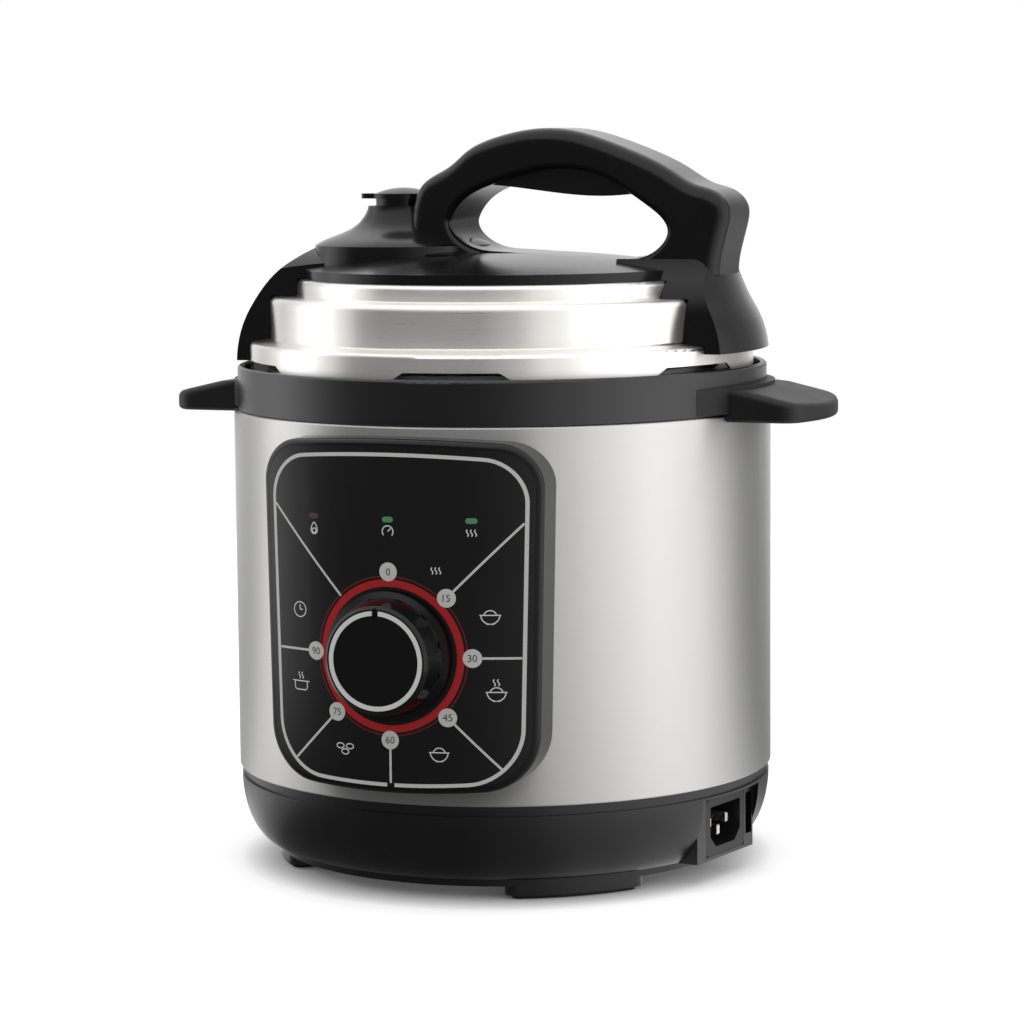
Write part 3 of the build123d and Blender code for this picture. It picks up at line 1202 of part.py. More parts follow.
def condensate_cup():
    top, low = cup_top_z, cup_top_z - CUP_HEIGHT
    middle_y = cup_back_y + GAP + CUP_DEPTH / 2
    outer = Pos(0, middle_y, low) * Box(CUP_WIDTH, CUP_DEPTH, CUP_HEIGHT, align=UP)
    outer = fillet(outer.edges().filter_by(Axis.Z).group_by(Axis.Y)[-1], CUP_CORNER)
    outer = fillet(outer.edges().group_by(Axis.Z)[0], 3.0)
    ledge = Pos(0, middle_y, top - RAIL) * Box(CUP_WIDTH + 2 * RAIL, CUP_DEPTH, RAIL, align=UP)
    outer += fillet(ledge.edges().filter_by(Axis.Z).group_by(Axis.Y)[-1], CUP_CORNER)
    inner = Pos(0, middle_y, low + CUP_WALL)
    inner *= Box(CUP_WIDTH - 2 * CUP_WALL, CUP_DEPTH - 2 * CUP_WALL, CUP_HEIGHT, align=UP)
    return outer - fillet(inner.edges().filter_by(Axis.Z).group_by(Axis.Y)[-1], CUP_CORNER - CUP_WALL)


# ================================================================ output
os.makedirs("parts", exist_ok=True)
handle = side_handle()
save("side_handle_right", handle)
save("side_handle_left", Rot(0, 0, 180) * handle)
for maker in (
    base_housing, foot_pads, inlet_socket, inlet_pins, outer_shell, rim_band, handle_screws,
    pressure_liner, liner_bracket, bracket_screws, heating_plate, heater_nuts, heater_terminals,
    sensor_cap, sensor_spring, pressure_switch, switch_lever, switch_bracket, thermal_fuse, fuse_clip,
    inner_pot, timer_switch, timer_nut, timer_shaft, knob, knob_ring, panel_bezel, panel_face,
    indicator_lenses, indicator_leds, indicator_board, panel_screws, lid_shell, lid_stud,
    support_plate, support_nut, sealing_ring, lid_cover, handle_grip, grip_screws, cover_screws,
    vent_pipe, vent_nut, vent_shield, valve_weight, valve_knob, float_bush, float_pin,
    cup_bracket, cup_screws, condensate_cup,
):
    save(maker.__name__, maker())
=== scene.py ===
from math import cos, hypot, pi, radians, sin, sqrt

import bmesh
import bpy
from mathutils import Matrix, Vector

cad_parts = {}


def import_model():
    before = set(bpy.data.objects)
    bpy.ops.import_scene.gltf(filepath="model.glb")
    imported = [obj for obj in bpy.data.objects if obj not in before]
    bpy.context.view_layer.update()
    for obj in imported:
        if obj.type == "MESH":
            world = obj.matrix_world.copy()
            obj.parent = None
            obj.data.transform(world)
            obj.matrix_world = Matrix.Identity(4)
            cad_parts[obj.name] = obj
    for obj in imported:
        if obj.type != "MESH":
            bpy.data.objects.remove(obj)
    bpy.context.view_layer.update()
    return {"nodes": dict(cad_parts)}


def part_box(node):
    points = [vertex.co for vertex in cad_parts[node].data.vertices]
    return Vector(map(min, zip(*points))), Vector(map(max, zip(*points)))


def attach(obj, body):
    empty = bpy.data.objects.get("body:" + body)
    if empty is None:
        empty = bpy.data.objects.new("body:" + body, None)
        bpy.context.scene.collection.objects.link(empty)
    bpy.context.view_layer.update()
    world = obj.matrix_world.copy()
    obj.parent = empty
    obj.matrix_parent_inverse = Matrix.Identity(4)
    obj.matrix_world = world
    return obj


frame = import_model()
nodes = frame["nodes"]

MM = 0.001

# ---------------------------------------------------------------- places read from the frame
face_low, face_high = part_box("panel_face")
knob_low, knob_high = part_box("knob")
lens_low, lens_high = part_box("indicator_lenses")
panel_r = -face_low.y         # the panel's face is round about the body's axis
dial_x = (knob_low.x + knob_high.x) / 2
dial_z = (knob_low.z + knob_high.z) / 2
light_z = (lens_low.z + lens_high.z) / 2


# ================================================================ shader nodes
def node(tree, kind, **values):
    """A node with its properties and inputs set by name."""
    made = tree.nodes.new(kind)
    for key, value in values.items():
        if key in made.inputs:
            made.inputs[key].default_value = value
        else:
            setattr(made, key, value)
    return made


def feed(tree, socket, value):
    """Give an input a number, or link it to an output."""
    if isinstance(value, (int, float)):
        socket.default_value = value
    else:
        tree.links.new(value, socket)


def calc(tree, operation, first, second):
    """Arithmetic on two values, each a number or a socket."""
    made = node(tree, "ShaderNodeMath", operation=operation)
    feed(tree, made.inputs[0], first)
    feed(tree, made.inputs[1], second)
    return made.outputs[0]


def mix(tree, factor, first, second):
    """Blend between two values, each a number or a socket."""
    made = node(tree, "ShaderNodeMix", data_type="FLOAT")
    for name, value in (("Factor", factor), ("A", first), ("B", second)):
        feed(tree, made.inputs[name], value)
    return made.outputs["Result"]


def remap(tree, value, source, target, curve="LINEAR"):
    """Carry a value from one range to another."""
    made = node(tree, "ShaderNodeMapRange", interpolation_type=curve)
    for name, end in zip(("From Min", "From Max", "To Min", "To Max"), (*source, *target)):
        made.inputs[name].default_value = end
    tree.links.new(value, made.inputs["Value"])
    return made.outputs["Result"]


def object_point(tree):
    """A point's place in the frame."""
    return tree.nodes.new("ShaderNodeTexCoord").outputs["Object"]


def split(tree, vector):
    """The X, Y and Z of a vector."""
    made = tree.nodes.new("ShaderNodeSeparateXYZ")
    tree.links.new(vector, made.inputs["Vector"])
    return made.outputs["X"], made.outputs["Y"], made.outputs["Z"]


def combine(tree, x, y, z):
    """A vector from three values, each a number or a socket."""
    made = tree.nodes.new("ShaderNodeCombineXYZ")
    for name, value in zip("XYZ", (x, y, z)):
        feed(tree, made.inputs[name], value)
    return made.outputs["Vector"]


def length(tree, vector):
    made = node(tree, "ShaderNodeVectorMath", operation="LENGTH")
    tree.links.new(vector, made.inputs[0])
    return made.outputs["Value"]


def around_point(tree, along, across):
    """Coordinates wound round the Z axis: slow along the turn, fast up and down and outwards."""
    x, y, z = split(tree, object_point(tree))
    angle = calc(tree, "ARCTAN2", y, x)
    radius = length(tree, combine(tree, x, y, 0.0))
    return combine(
        tree, calc(tree, "MULTIPLY", angle, along),
        calc(tree, "MULTIPLY", z, across), calc(tree, "MULTIPLY", radius, across),
    )


def noise(tree, vector, scale, detail=3.0, rough=0.6):
    """A cloudy texture; its scale is in cells per metre."""
    made = node(tree, "ShaderNodeTexNoise", Scale=scale, Detail=detail, Roughness=rough)
    tree.links.new(vector, made.inputs["Vector"])
    return made.outputs["Fac"]


# ================================================================ materials
NOISE_SPAN = (0.3, 0.7)       # where most of a noise texture's values lie
GRAIN_ALONG = 6.0             # cells of the steel's grain in a radian round the axis
GRAIN_DEPTH = 0.01 * MM
QUARTER_TURN = 0.25           # of the grain's stretch, so that reflections spread up and down
BLACK = (0.004, 0.004, 0.0042)
LENS_GREEN = (0.05, 0.21, 0.075)
LENS_RED = (0.05, 0.006, 0.006)
RED_SIDE = 10 * MM            # further left of the dial's middle than this, a light is red


def material(name, color, roughness, metallic=0.0, **sockets):
    """A Principled material; returns it with its node tree and shader."""
    mat = bpy.data.materials.new(name)
    mat.use_nodes = True
    tree = mat.node_tree
    bsdf = tree.nodes["Principled BSDF"]
    bsdf.inputs["Base Color"].default_value = (*color, 1)
    bsdf.inputs["Roughness"].default_value = roughness
    bsdf.inputs["Metallic"].default_value = metallic
    for socket, value in sockets.items():
        bsdf.inputs[socket.replace("_", " ")].default_value = value
    return mat, tree, bsdf


def shade(color, share):
    return tuple(channel * share for channel in color)


def vary_gloss(tree, factor, bsdf, roughness, low, high):
    """Vary the roughness with a texture, between two shares of it."""
    span = (roughness * low, roughness * high)
    tree.links.new(remap(tree, factor, NOISE_SPAN, span), bsdf.inputs["Roughness"])


def tint(tree, factor, bsdf, dark, light, span=NOISE_SPAN):
    """Vary the base colour with a texture, between two colours."""
    ramp = tree.nodes.new("ShaderNodeValToRGB")
    for stop, place, color in zip(ramp.color_ramp.elements, span, (dark, light)):
        stop.position = place
        stop.color = (*color, 1)
    tree.links.new(factor, ramp.inputs["Fac"])
    tree.links.new(ramp.outputs["Color"], bsdf.inputs["Base Color"])


def bump(tree, factor, bsdf, distance, strength):
    made = node(tree, "ShaderNodeBump", Strength=strength, Distance=distance)
    tree.links.new(factor, made.inputs["Height"])
    tree.links.new(made.outputs["Normal"], bsdf.inputs["Normal"])


def brushed_steel(name, light, dark, roughness, anisotropy, fine):
    """Steel with a fine grain that runs round the Z axis and stretches reflections across it."""
    mat, tree, bsdf = material(
        name, light, roughness, 1.0, Anisotropic=anisotropy, Anisotropic_Rotation=QUARTER_TURN)
    grain = noise(tree, around_point(tree, GRAIN_ALONG, fine), 1.0, 4.0, 0.7)
    tint(tree, grain, bsdf, dark, light)
    vary_gloss(tree, grain, bsdf, roughness, 0.85, 1.2)
    bump(tree, grain, bsdf, GRAIN_DEPTH, 0.25)
    tangent = node(tree, "ShaderNodeTangent", direction_type="RADIAL", axis="Z")
    tree.links.new(tangent.outputs["Tangent"], bsdf.inputs["Tangent"])
    return mat


def plastic(name, color, roughness, grain, depth, specular=0.3):
    """Moulded plastic with a faint texture and slow changes of gloss."""
    mat, tree, bsdf = material(name, color, roughness, Specular_IOR_Level=specular)
    fine = noise(tree, object_point(tree), grain, 2.0)
    slow = noise(tree, object_point(tree), 22.0, 3.0)
    bump(tree, fine, bsdf, depth, 0.35)
    vary_gloss(tree, slow, bsdf, roughness, 0.88, 1.14)
    tint(tree, slow, bsdf, shade(color, 0.86), shade(color, 1.1))
    return mat


def cast_metal(name, color, roughness, grain, depth):
    """Plain metal with an even, fine roughness."""
    mat, tree, bsdf = material(name, color, roughness, 1.0)
    fine = noise(tree, object_point(tree), grain, 4.0)
    bump(tree, fine, bsdf, depth, 0.4)
    vary_gloss(tree, fine, bsdf, roughness, 0.8, 1.25)
    tint(tree, fine, bsdf, shade(color, 0.85), color)
    return mat


def indicator_plastic():
    """Clear caps: red for the one on the left, green for the others."""
    mat, tree, bsdf = material("indicator_plastic", LENS_GREEN, 0.3, Coat_Weight=0.6)
    x, _, _ = split(tree, object_point(tree))
    left = calc(tree, "LESS_THAN", x, dial_x - RED_SIDE)
    tint(tree, left, bsdf, LENS_GREEN, LENS_RED, (0.4, 0.6))
    bump(tree, noise(tree, object_point(tree), 900.0, 2.0), bsdf, 0.05 * MM, 0.3)
    return mat


def paint(name, color, roughness=0.45):
    """Printed ink with a faint unevenness."""
    mat, tree, bsdf = material(name, color, roughness, Specular_IOR_Level=0.2)
    specks = noise(tree, object_point(tree), 1500.0, 2.0)
    tint(tree, specks, bsdf, shade(color, 0.9), color)
    vary_gloss(tree, specks, bsdf, roughness, 0.9, 1.1)
    return mat


# Steel: light and dark of the grain, roughness, anisotropy, cells of the grain per metre.
BODY_STEEL = brushed_steel(
    "body_steel", (0.58, 0.575, 0.565), (0.525, 0.52, 0.51), 0.4, 0.9, 9000.0)
LID_STEEL = brushed_steel(
    "lid_steel", (0.88, 0.87, 0.835), (0.83, 0.82, 0.785), 0.31, 0.94, 7000.0)
POT_METAL = brushed_steel("pot_metal", (0.72, 0.72, 0.71), (0.66, 0.66, 0.65), 0.3, 0.5, 5000.0)

# Cast metal: colour, roughness, cells of the texture per metre, its depth.
INNER_STEEL = cast_metal("inner_steel", (0.62, 0.61, 0.6), 0.3, 600.0, 0.02 * MM)
CAST_ALUMINIUM = cast_metal("cast_aluminium", (0.6, 0.6, 0.6), 0.45, 900.0, 0.1 * MM)
ZINC = cast_metal("zinc", (0.65, 0.65, 0.62), 0.32, 1500.0, 0.02 * MM)
NICKEL = cast_metal("nickel", (0.78, 0.76, 0.7), 0.25, 1500.0, 0.01 * MM)

# Plastic and rubber: colour, roughness, cells of the texture per metre, its depth, reflection.
SATIN_BLACK = plastic("satin_black", BLACK, 0.3, 2600.0, 0.04 * MM, 0.55)
HANDLE_BLACK = plastic("handle_black", BLACK, 0.5, 2600.0, 0.06 * MM, 0.35)
COVER_BLACK = plastic("cover_black", BLACK, 0.18, 1800.0, 0.02 * MM, 0.27)
GRIP_BLACK = plastic("grip_black", BLACK, 0.27, 2600.0, 0.04 * MM, 0.32)
GLOSS_BLACK = plastic("gloss_black", (0.003, 0.003, 0.0032), 0.14, 1200.0, 0.01 * MM, 0.28)
PANEL_BLACK = plastic("panel_black", (0.0045, 0.0045, 0.0047), 0.24, 3000.0, 0.02 * MM, 0.36)
CUP_PLASTIC = plastic("cup_plastic", (0.05, 0.05, 0.052), 0.3, 1500.0, 0.02 * MM)
PAD_RUBBER = plastic("pad_rubber", (0.014, 0.014, 0.014), 0.7, 3000.0, 0.1 * MM)
SILICONE = plastic("silicone", (0.62, 0.62, 0.58), 0.5, 1500.0, 0.04 * MM)
SWITCH_PLASTIC = plastic("switch_plastic", (0.55, 0.52, 0.45), 0.5, 1500.0, 0.04 * MM)
SOCKET_BLACK = plastic("socket_black", (0.012, 0.012, 0.012), 0.35, 2200.0, 0.04 * MM)
BOARD = plastic("board_resin", (0.03, 0.12, 0.05), 0.45, 900.0, 0.04 * MM)

LENS = indicator_plastic()
TRIM = paint("trim_silver", (0.56, 0.56, 0.55), 0.3)
SILVER_INK = paint("silver_ink", (0.47, 0.47, 0.455))
LIGHT_INK = paint("light_ink", (0.56, 0.56, 0.55))
DARK_INK = paint("dark_ink", (0.05, 0.05, 0.05))
RED_INK = paint("red_ink", (0.36, 0.01, 0.012), 0.35)
DEEP_RED_INK = paint("deep_red_ink", (0.11, 0.008, 0.009), 0.4)

FINISHES = {
    BODY_STEEL: ("outer_shell",),
    LID_STEEL: ("lid_shell", "support_plate"),
    POT_METAL: ("inner_pot",),
    INNER_STEEL: (
        "pressure_liner", "liner_bracket", "lid_stud", "vent_pipe", "vent_nut", "vent_shield",
        "float_pin", "switch_lever", "switch_bracket", "sensor_spring", "valve_weight",
        "fuse_clip", "timer_shaft", "timer_nut",
    ),
    CAST_ALUMINIUM: ("heating_plate", "sensor_cap"),
    ZINC: (
        "handle_screws", "bracket_screws", "panel_screws", "cup_screws", "cover_screws",
        "grip_screws", "heater_nuts", "support_nut", "heater_terminals",
    ),
    NICKEL: ("inlet_pins",),
    SATIN_BLACK: ("base_housing", "rim_band"),
    HANDLE_BLACK: ("side_handle_right", "side_handle_left"),
    COVER_BLACK: ("lid_cover", "valve_knob", "panel_bezel"),
    GRIP_BLACK: ("handle_grip",),
    GLOSS_BLACK: ("knob",),
    PANEL_BLACK: ("panel_face",),
    CUP_PLASTIC: ("condensate_cup", "cup_bracket"),
    PAD_RUBBER: ("foot_pads",),
    SILICONE: ("sealing_ring", "float_bush"),
    SWITCH_PLASTIC: ("pressure_switch", "timer_switch", "thermal_fuse"),
    SOCKET_BLACK: ("inlet_socket",),
    BOARD: ("indicator_board",),
    TRIM: ("knob_ring",),
    LENS: ("indicator_lenses", "indicator_leds"),
}


def dress_cad():
    """Give every CAD node its finish."""
    for finish, names in FINISHES.items():
        for name in names:
            data = nodes[name].data
            data.materials.clear()
            data.materials.append(finish)


# ================================================================ lines on the panel
INK_LIFT = 0.05 * MM          # one layer of ink
WELD = 0.001 * MM             # corners nearer than this are joined
LINE_STEP = 1.5 * MM          # pieces of a straight line, short enough to follow the face
ARC_STEP = 6                  # degrees
RING_STEP = 3
DISC_STEP = 10


def on_panel(x, z, lift=INK_LIFT):
    """A point on the curved face of the panel."""
    r = panel_r + lift
    return Vector((x, -sqrt(r * r - x * x), z))


def add_print(name, data, finish):
    """Make a print's mesh a piece of the panel."""
    data.materials.clear()
    data.materials.append(finish)
    piece = bpy.data.objects.new(name, data)
    bpy.context.scene.collection.objects.link(piece)
    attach(piece, "root")


def printed(name, faces_2d, finish, lift=INK_LIFT):
    """A thin print on the panel from polygons given in x and z."""
    mesh = bmesh.new()
    for polygon in faces_2d:
        mesh.faces.new([mesh.verts.new(on_panel(x, z, lift)) for x, z in polygon])
    bmesh.ops.remove_doubles(mesh, verts=mesh.verts, dist=WELD)
    data = bpy.data.meshes.new(name)
    mesh.to_mesh(data)
    mesh.free()
    add_print(name, data, finish)


def stroke(points, width, closed=False):
    """Quads along a line given in x and z."""
    count = len(points)
    left, right = [], []
    for i, (x, z) in enumerate(points):
        before = points[i - 1] if closed or i else points[i]
        after = points[(i + 1) % count] if closed or i < count - 1 else points[i]
        dx, dz = after[0] - before[0], after[1] - before[1]
        size = hypot(dx, dz) or 1.0
        nx, nz = -dz / size * width / 2, dx / size * width / 2
        left.append((x + nx, z + nz))
        right.append((x - nx, z - nz))
    quads = []
    for i in range(count if closed else count - 1):
        after = (i + 1) % count
        quads.append((left[i], right[i], right[after], left[after]))
    return quads


def straight(start, end, step=LINE_STEP):
    """Points along a straight line."""
    x, z = start
    dx, dz = end[0] - x, end[1] - z
    last = max(1, int(hypot(dx, dz) / step))
    return [(x + dx * i / last, z + dz * i / last) for i in range(last + 1)]


def arc(cx, cz, radius, start, end, step=ARC_STEP):
    """Points on a circle; degrees from +X towards +Z."""
    last = max(2, int(abs(end - start) / step))
    turns = [radians(start + (end - start) * i / last) for i in range(last + 1)]
    return [(cx + radius * cos(turn), cz + radius * sin(turn)) for turn in turns]


def ring(cx, cz, inner, outer):
    path = arc(cx, cz, (inner + outer) / 2, 0, 360 - RING_STEP, RING_STEP)
    return stroke(path, outer - inner, closed=True)


def disc(cx, cz, radius):
    """A round patch as a fan of thin wedges."""
    rim = arc(cx, cz, radius, 0, 360 - DISC_STEP, DISC_STEP)
    return [((cx, cz), rim[i - 1], rim[i]) for i in range(len(rim))]


# ================================================================ border, rules and dial
BORDER_WIDTH = 1.45 * MM
BORDER_BELOW = 3.4 * MM       # the border's top below the panel's upper edge
BORDER_ABOVE = 0.9 * MM       # its bottom above the lower edge
BORDER_TOP_INSET = 3.0 * MM   # its upper corners inside the panel's sides
BORDER_LOW_INSET = 5.0 * MM
BORDER_TOP_CORNER = 15.0 * MM
BORDER_LOW_CORNER = 20.0 * MM
BORDER_BOW = 3.0 * MM         # how far its upper and lower lines bulge
BOW_FADE = 25 * MM            # nearer to the middle's height than this the bulge fades out
BORDER_GAP = 1.3 * MM         # half of the gap in the lower line
GAP_HEIGHT = 3 * MM           # the gap reaches this far up from the lowest point
RULE_WIDTH = 0.9 * MM
RULE_REACH = 60 * MM          # from the badges' ring, beyond the border everywhere
RULE_TOUCH = 1.0 * MM         # a rule that comes nearer to the border than this has met it
RULE_STEPS = 199
DEGREES_A_MINUTE = 3
MINUTES = (0, 15, 30, 45, 60, 75, 90)
SHOULDER_RULE = -14.2         # minutes before zero, where the rule without a badge stands
SHOULDER_INSET = 2.2 * MM
BADGE_RADIUS = 3.6 * MM
BADGE_RING = 32.4 * MM        # badge centres round the dial
NUMBER_SIZE = 3.9 * MM
RED_RING = (26.7 * MM, 29.5 * MM)
THIN_RING = (30.4 * MM, 31.0 * MM)


def dial_place(minutes, radius):
    """Place on the dial: 0 at the top, 15 minutes to each eighth of a turn clockwise."""
    angle = radians(90 - minutes * DEGREES_A_MINUTE)
    return dial_x + radius * cos(angle), dial_z + radius * sin(angle)


def border_line():
    """The silver line's closed path: a rounded, bowed shape inside the panel's edge."""
    low, high = face_low.z + BORDER_ABOVE, face_high.z - BORDER_BELOW
    top_half, low_half = face_high.x - BORDER_TOP_INSET, face_high.x - BORDER_LOW_INSET
    foot, head = low + BORDER_BOW, high - BORDER_BOW
    corners = (
        (low_half, foot, BORDER_LOW_CORNER, -90), (top_half, head, BORDER_TOP_CORNER, 0),
        (-top_half, head, BORDER_TOP_CORNER, 90), (-low_half, foot, BORDER_LOW_CORNER, 180),
    )
    middle = (low + high) / 2
    path = []
    for x, z, radius, start in corners:
        cx = x - radius if x > 0 else x + radius
        cz = z - radius if z > middle else z + radius
        path += arc(cx, cz, radius, start, start + 90)
    filled = []
    for i, point in enumerate(path):
        filled += straight(point, path[(i + 1) % len(path)])[:-1]
    bowed = []
    for x, z in filled:
        reach = 1 - (x / top_half) ** 2
        side = 1 if z > middle else -1
        fade = min(1, abs(z - middle) / BOW_FADE)
        bowed.append((x, z + BORDER_BOW * reach * side * fade))
    return bowed


def print_border(path):
    """The silver line, open for a short way in the middle of its lower side."""
    gap_top = min(z for _, z in path) + GAP_HEIGHT
    kept = []
    for quad in stroke(path, BORDER_WIDTH, closed=True):
        x = sum(corner[0] for corner in quad) / 4
        if abs(x) >= BORDER_GAP or quad[0][1] >= gap_top:
            kept.append(quad)
    printed("panel_border", kept, SILVER_INK)


def meet(path, start, end):
    """The first point of a line that meets the border, or else the line's end."""
    for i in range(RULE_STEPS + 1):
        t = i / RULE_STEPS
        x, z = start[0] + (end[0] - start[0]) * t, start[1] + (end[1] - start[1]) * t
        if min(hypot(x - px, z - pz) for px, pz in path) < RULE_TOUCH:
            return x, z
    return end


def print_rules(path):
    """Thin lines from the badges to the border, and one from its left shoulder to the dial."""
    places = [(minutes, BADGE_RING + BADGE_RADIUS) for minutes in MINUTES[1:]]
    places.append((SHOULDER_RULE, BADGE_RING - SHOULDER_INSET))
    rules = []
    for minutes, radius in places:
        start = dial_place(minutes, radius)
        end = meet(path, start, dial_place(minutes, BADGE_RING + RULE_REACH))
        rules += stroke(straight(start, end), RULE_WIDTH)
    printed("panel_rules", rules, SILVER_INK)


def print_dial():
    """Two rings round the knob, and a badge with its number for every quarter of an hour."""
    printed("dial_ring", ring(dial_x, dial_z, *RED_RING), RED_INK)
    printed("dial_thin_ring", ring(dial_x, dial_z, *THIN_RING), DEEP_RED_INK)
    badges = []
    for minutes in MINUTES:
        badges += disc(*dial_place(minutes, BADGE_RING), BADGE_RADIUS)
    printed("dial_badges", badges, SILVER_INK, 2 * INK_LIFT)
    for minutes in MINUTES:
        print_number(minutes)


def print_number(minutes):
    """A plain number, laid on its badge."""
    curve = bpy.data.curves.new(f"number_{minutes}", "FONT")
    curve.body = str(minutes)
    curve.size = NUMBER_SIZE
    curve.align_x = "CENTER"
    curve.align_y = "CENTER"
    holder = bpy.data.objects.new("holder", curve)
    bpy.context.scene.collection.objects.link(holder)
    bpy.context.view_layer.update()
    seen = holder.evaluated_get(bpy.context.evaluated_depsgraph_get())
    data = bpy.data.meshes.new_from_object(seen)
    bpy.data.objects.remove(holder)
    cx, cz = dial_place(minutes, BADGE_RING)
    xs = [v.co.x for v in data.vertices]
    ys = [v.co.y for v in data.vertices]
    mx, my = (min(xs) + max(xs)) / 2, (min(ys) + max(ys)) / 2
    for v in data.vertices:
        v.co = on_panel(cx + v.co.x - mx, cz + v.co.y - my, 3 * INK_LIFT)
    add_print(f"dial_number_{minutes}", data, DARK_INK)


# ================================================================ signs
ICON_LINE = 0.42 * MM
ICON_STEP = 0.5 * MM
LENS_WIDTH = 4.4 * MM
LIGHT_SIGN_DROP = 4.6 * MM    # signs below the lights


def icon_line(start, end, step=ICON_STEP):
    return stroke(straight(start, end, step), ICON_LINE)


def bowl_icon(cx, cz):
    """A bowl on its foot with a heap in it."""
    half, lip, foot = 3.4 * MM, 0.5 * MM, 1.4 * MM
    heap_r, heap_drop = 2.4 * MM, 0.6 * MM
    faces = stroke(arc(cx, cz, half, 180, 360), ICON_LINE)
    faces += icon_line((cx - half - lip, cz), (cx + half + lip, cz))
    faces += stroke(arc(cx, cz - heap_drop, heap_r, 20, 160), ICON_LINE)
    return faces + icon_line((cx - foot, cz - half), (cx + foot, cz - half))


def steam(cx, cz, count):
    """Wavy lines that rise side by side."""
    pitch, height, sway, steps = 1.5 * MM, 2.6 * MM, 0.35 * MM, 10
    faces = []
    for i in range(count):
        x = cx + (i - (count - 1) / 2) * pitch
        turns = [2 * pi * t / steps for t in range(steps + 1)]
        wave = [(x + sway * sin(a), cz + height * t / steps) for t, a in enumerate(turns)]
        faces += stroke(wave, ICON_LINE)
    return faces


def pot_icon(cx, cz):
    """A pot with two ears and a lid line."""
    half, height, corner, ear = 3.0 * MM, 3.4 * MM, 0.8 * MM, 1.1 * MM
    outline = [
        (cx - half, cz), (cx - half, cz - height + corner), (cx - half + corner, cz - height),
        (cx + half - corner, cz - height), (cx + half, cz - height + corner), (cx + half, cz),
    ]
    faces = stroke(outline, ICON_LINE)
    return faces + icon_line((cx - half - ear, cz), (cx + half + ear, cz))


def bean_icon(cx, cz):
    """Three small ovals."""
    half_width, half_height = 1.6 * MM, 1.0 * MM
    faces = []
    for dx, dz in ((-2.1 * MM, 0), (2.1 * MM, 0), (0, -2.2 * MM)):
        oval = []
        for degrees in range(0, 360, 20):
            a = radians(degrees)
            oval.append((cx + dx + half_width * cos(a), cz + dz + half_height * sin(a)))
        faces += stroke(oval, ICON_LINE, closed=True)
    return faces


def flame_icon(cx, cz):
    """A drop with a narrow top, and a small circle in its foot."""
    half_width, half_height, drop = 1.9 * MM, 2.2 * MM, 0.2 * MM
    circle_r, circle_drop = 0.9 * MM, 1.1 * MM
    outer = []
    for degrees in range(0, 360, 15):
        a = radians(degrees)
        share = 0.45 + 0.55 * (1 - cos(a)) / 2
        outer.append((cx + half_width * sin(a) * share, cz - drop + half_height * cos(a)))
    inner = []
    for degrees in range(0, 360, 20):
        a = radians(degrees)
        inner.append((cx + circle_r * sin(a), cz - circle_drop + circle_r * cos(a)))
    return stroke(outer, ICON_LINE, closed=True) + stroke(inner, ICON_LINE, closed=True)


def gauge_icon(cx, cz):
    """A round gauge with a needle."""
    radius, needle = 2.2 * MM, 1.2 * MM
    faces = stroke(arc(cx, cz, radius, -40, 220), ICON_LINE)
    return faces + icon_line((cx, cz), (cx + needle, cz + needle), 0.4 * MM)


def clock_icon(cx, cz):
    """A clock's face with two hands."""
    radius, long_hand, short_hand = 2.9 * MM, 2.0 * MM, 1.4 * MM
    faces = stroke(arc(cx, cz, radius, 0, 348, 12), ICON_LINE, closed=True)
    faces += icon_line((cx, cz), (cx, cz + long_hand))
    return faces + icon_line((cx, cz), (cx + short_hand, cz))


def print_icons():
    """Plain signs beside the dial and under the lights, placed from the dial's centre."""
    x, z = dial_x, dial_z
    pitch = (lens_high.x - lens_low.x - LENS_WIDTH) / 2
    below = light_z - LIGHT_SIGN_DROP
    soup, stew = x + 41 * MM, x - 40 * MM
    prints = {
        "icon_heating": flame_icon(x - pitch, below),
        "icon_pressure": gauge_icon(x, below),
        "icon_keep_warm": steam(x + pitch, below - 1.3 * MM, 3),
        "icon_warm_up": steam(x + 19 * MM, z + 32 * MM, 3),
        "icon_rice": bowl_icon(x + 39 * MM, z + 16.5 * MM),
        "icon_soup": bowl_icon(soup, z - 13 * MM) + steam(soup, z - 10.6 * MM, 2),
        "icon_porridge": bowl_icon(x + 19.5 * MM, z - 36.5 * MM),
        "icon_beans": bean_icon(x - 19.5 * MM, z - 36 * MM),
        "icon_stew": pot_icon(stew, z - 12.5 * MM) + steam(stew, z - 11.6 * MM, 2),
        "icon_time": clock_icon(x - 40 * MM, z + 15.5 * MM),
    }
    for name, faces in prints.items():
        printed(name, faces, LIGHT_INK)


# ================================================================ studio
FRONT_ANGLE = 21.0            # the front of the studio, from -Y towards +X
ROOM = (                      # the studio as mirrors see it: degrees from its front, level
    (-180, 1.0), (-162, 0.9), (-150, 0.78), (-138, 0.7), (-126, 0.95), (-112, 1.8),
    (-98, 1.6), (-86, 0.9), (-72, 0.24), (-58, 0.18), (-12, 0.18), (4, 0.37), (24, 0.95),
    (45, 1.5), (66, 2.0), (90, 1.75), (106, 1.05), (120, 0.5), (134, 0.4), (148, 0.52),
    (162, 0.9), (180, 1.0),
)
ROOM_TOP = 2.2                # a level above all of the room's
CEILING_ANGLES = (20.0, 44.0)   # degrees above the horizon where the ceiling starts and is full
CEILING_LEVEL = 1.5
FILL_LEVEL = 0.75             # what lights dull surfaces from all sides
PAINTED_REFLECTION_LEVEL = 0.62            # painted reflection: the table's glow in mirrors, as a share of the room beyond it
TABLE_GREY = (0.62, 0.62, 0.62, 1)
TABLE_RADIUS = 0.75
TABLE_BEHIND = 0.42           # the middle of the table, behind the object
TABLE_DROP = 0.2 * MM         # below the feet
# Painted shadow on the table: its glow is lower near the object's axis, and it dims where
# something stands close to the table.
PAINTED_SHADOW_REACH = (0.08, 0.155)    # between these distances from the object's axis ...
PAINTED_SHADOW_LEVELS = (0.52, 0.64)    # ... the table's glow grows from one level to the other
PAINTED_CONTACT_REACH = 0.016         # what stands nearer to the table than this dims the glow: a painted contact shadow
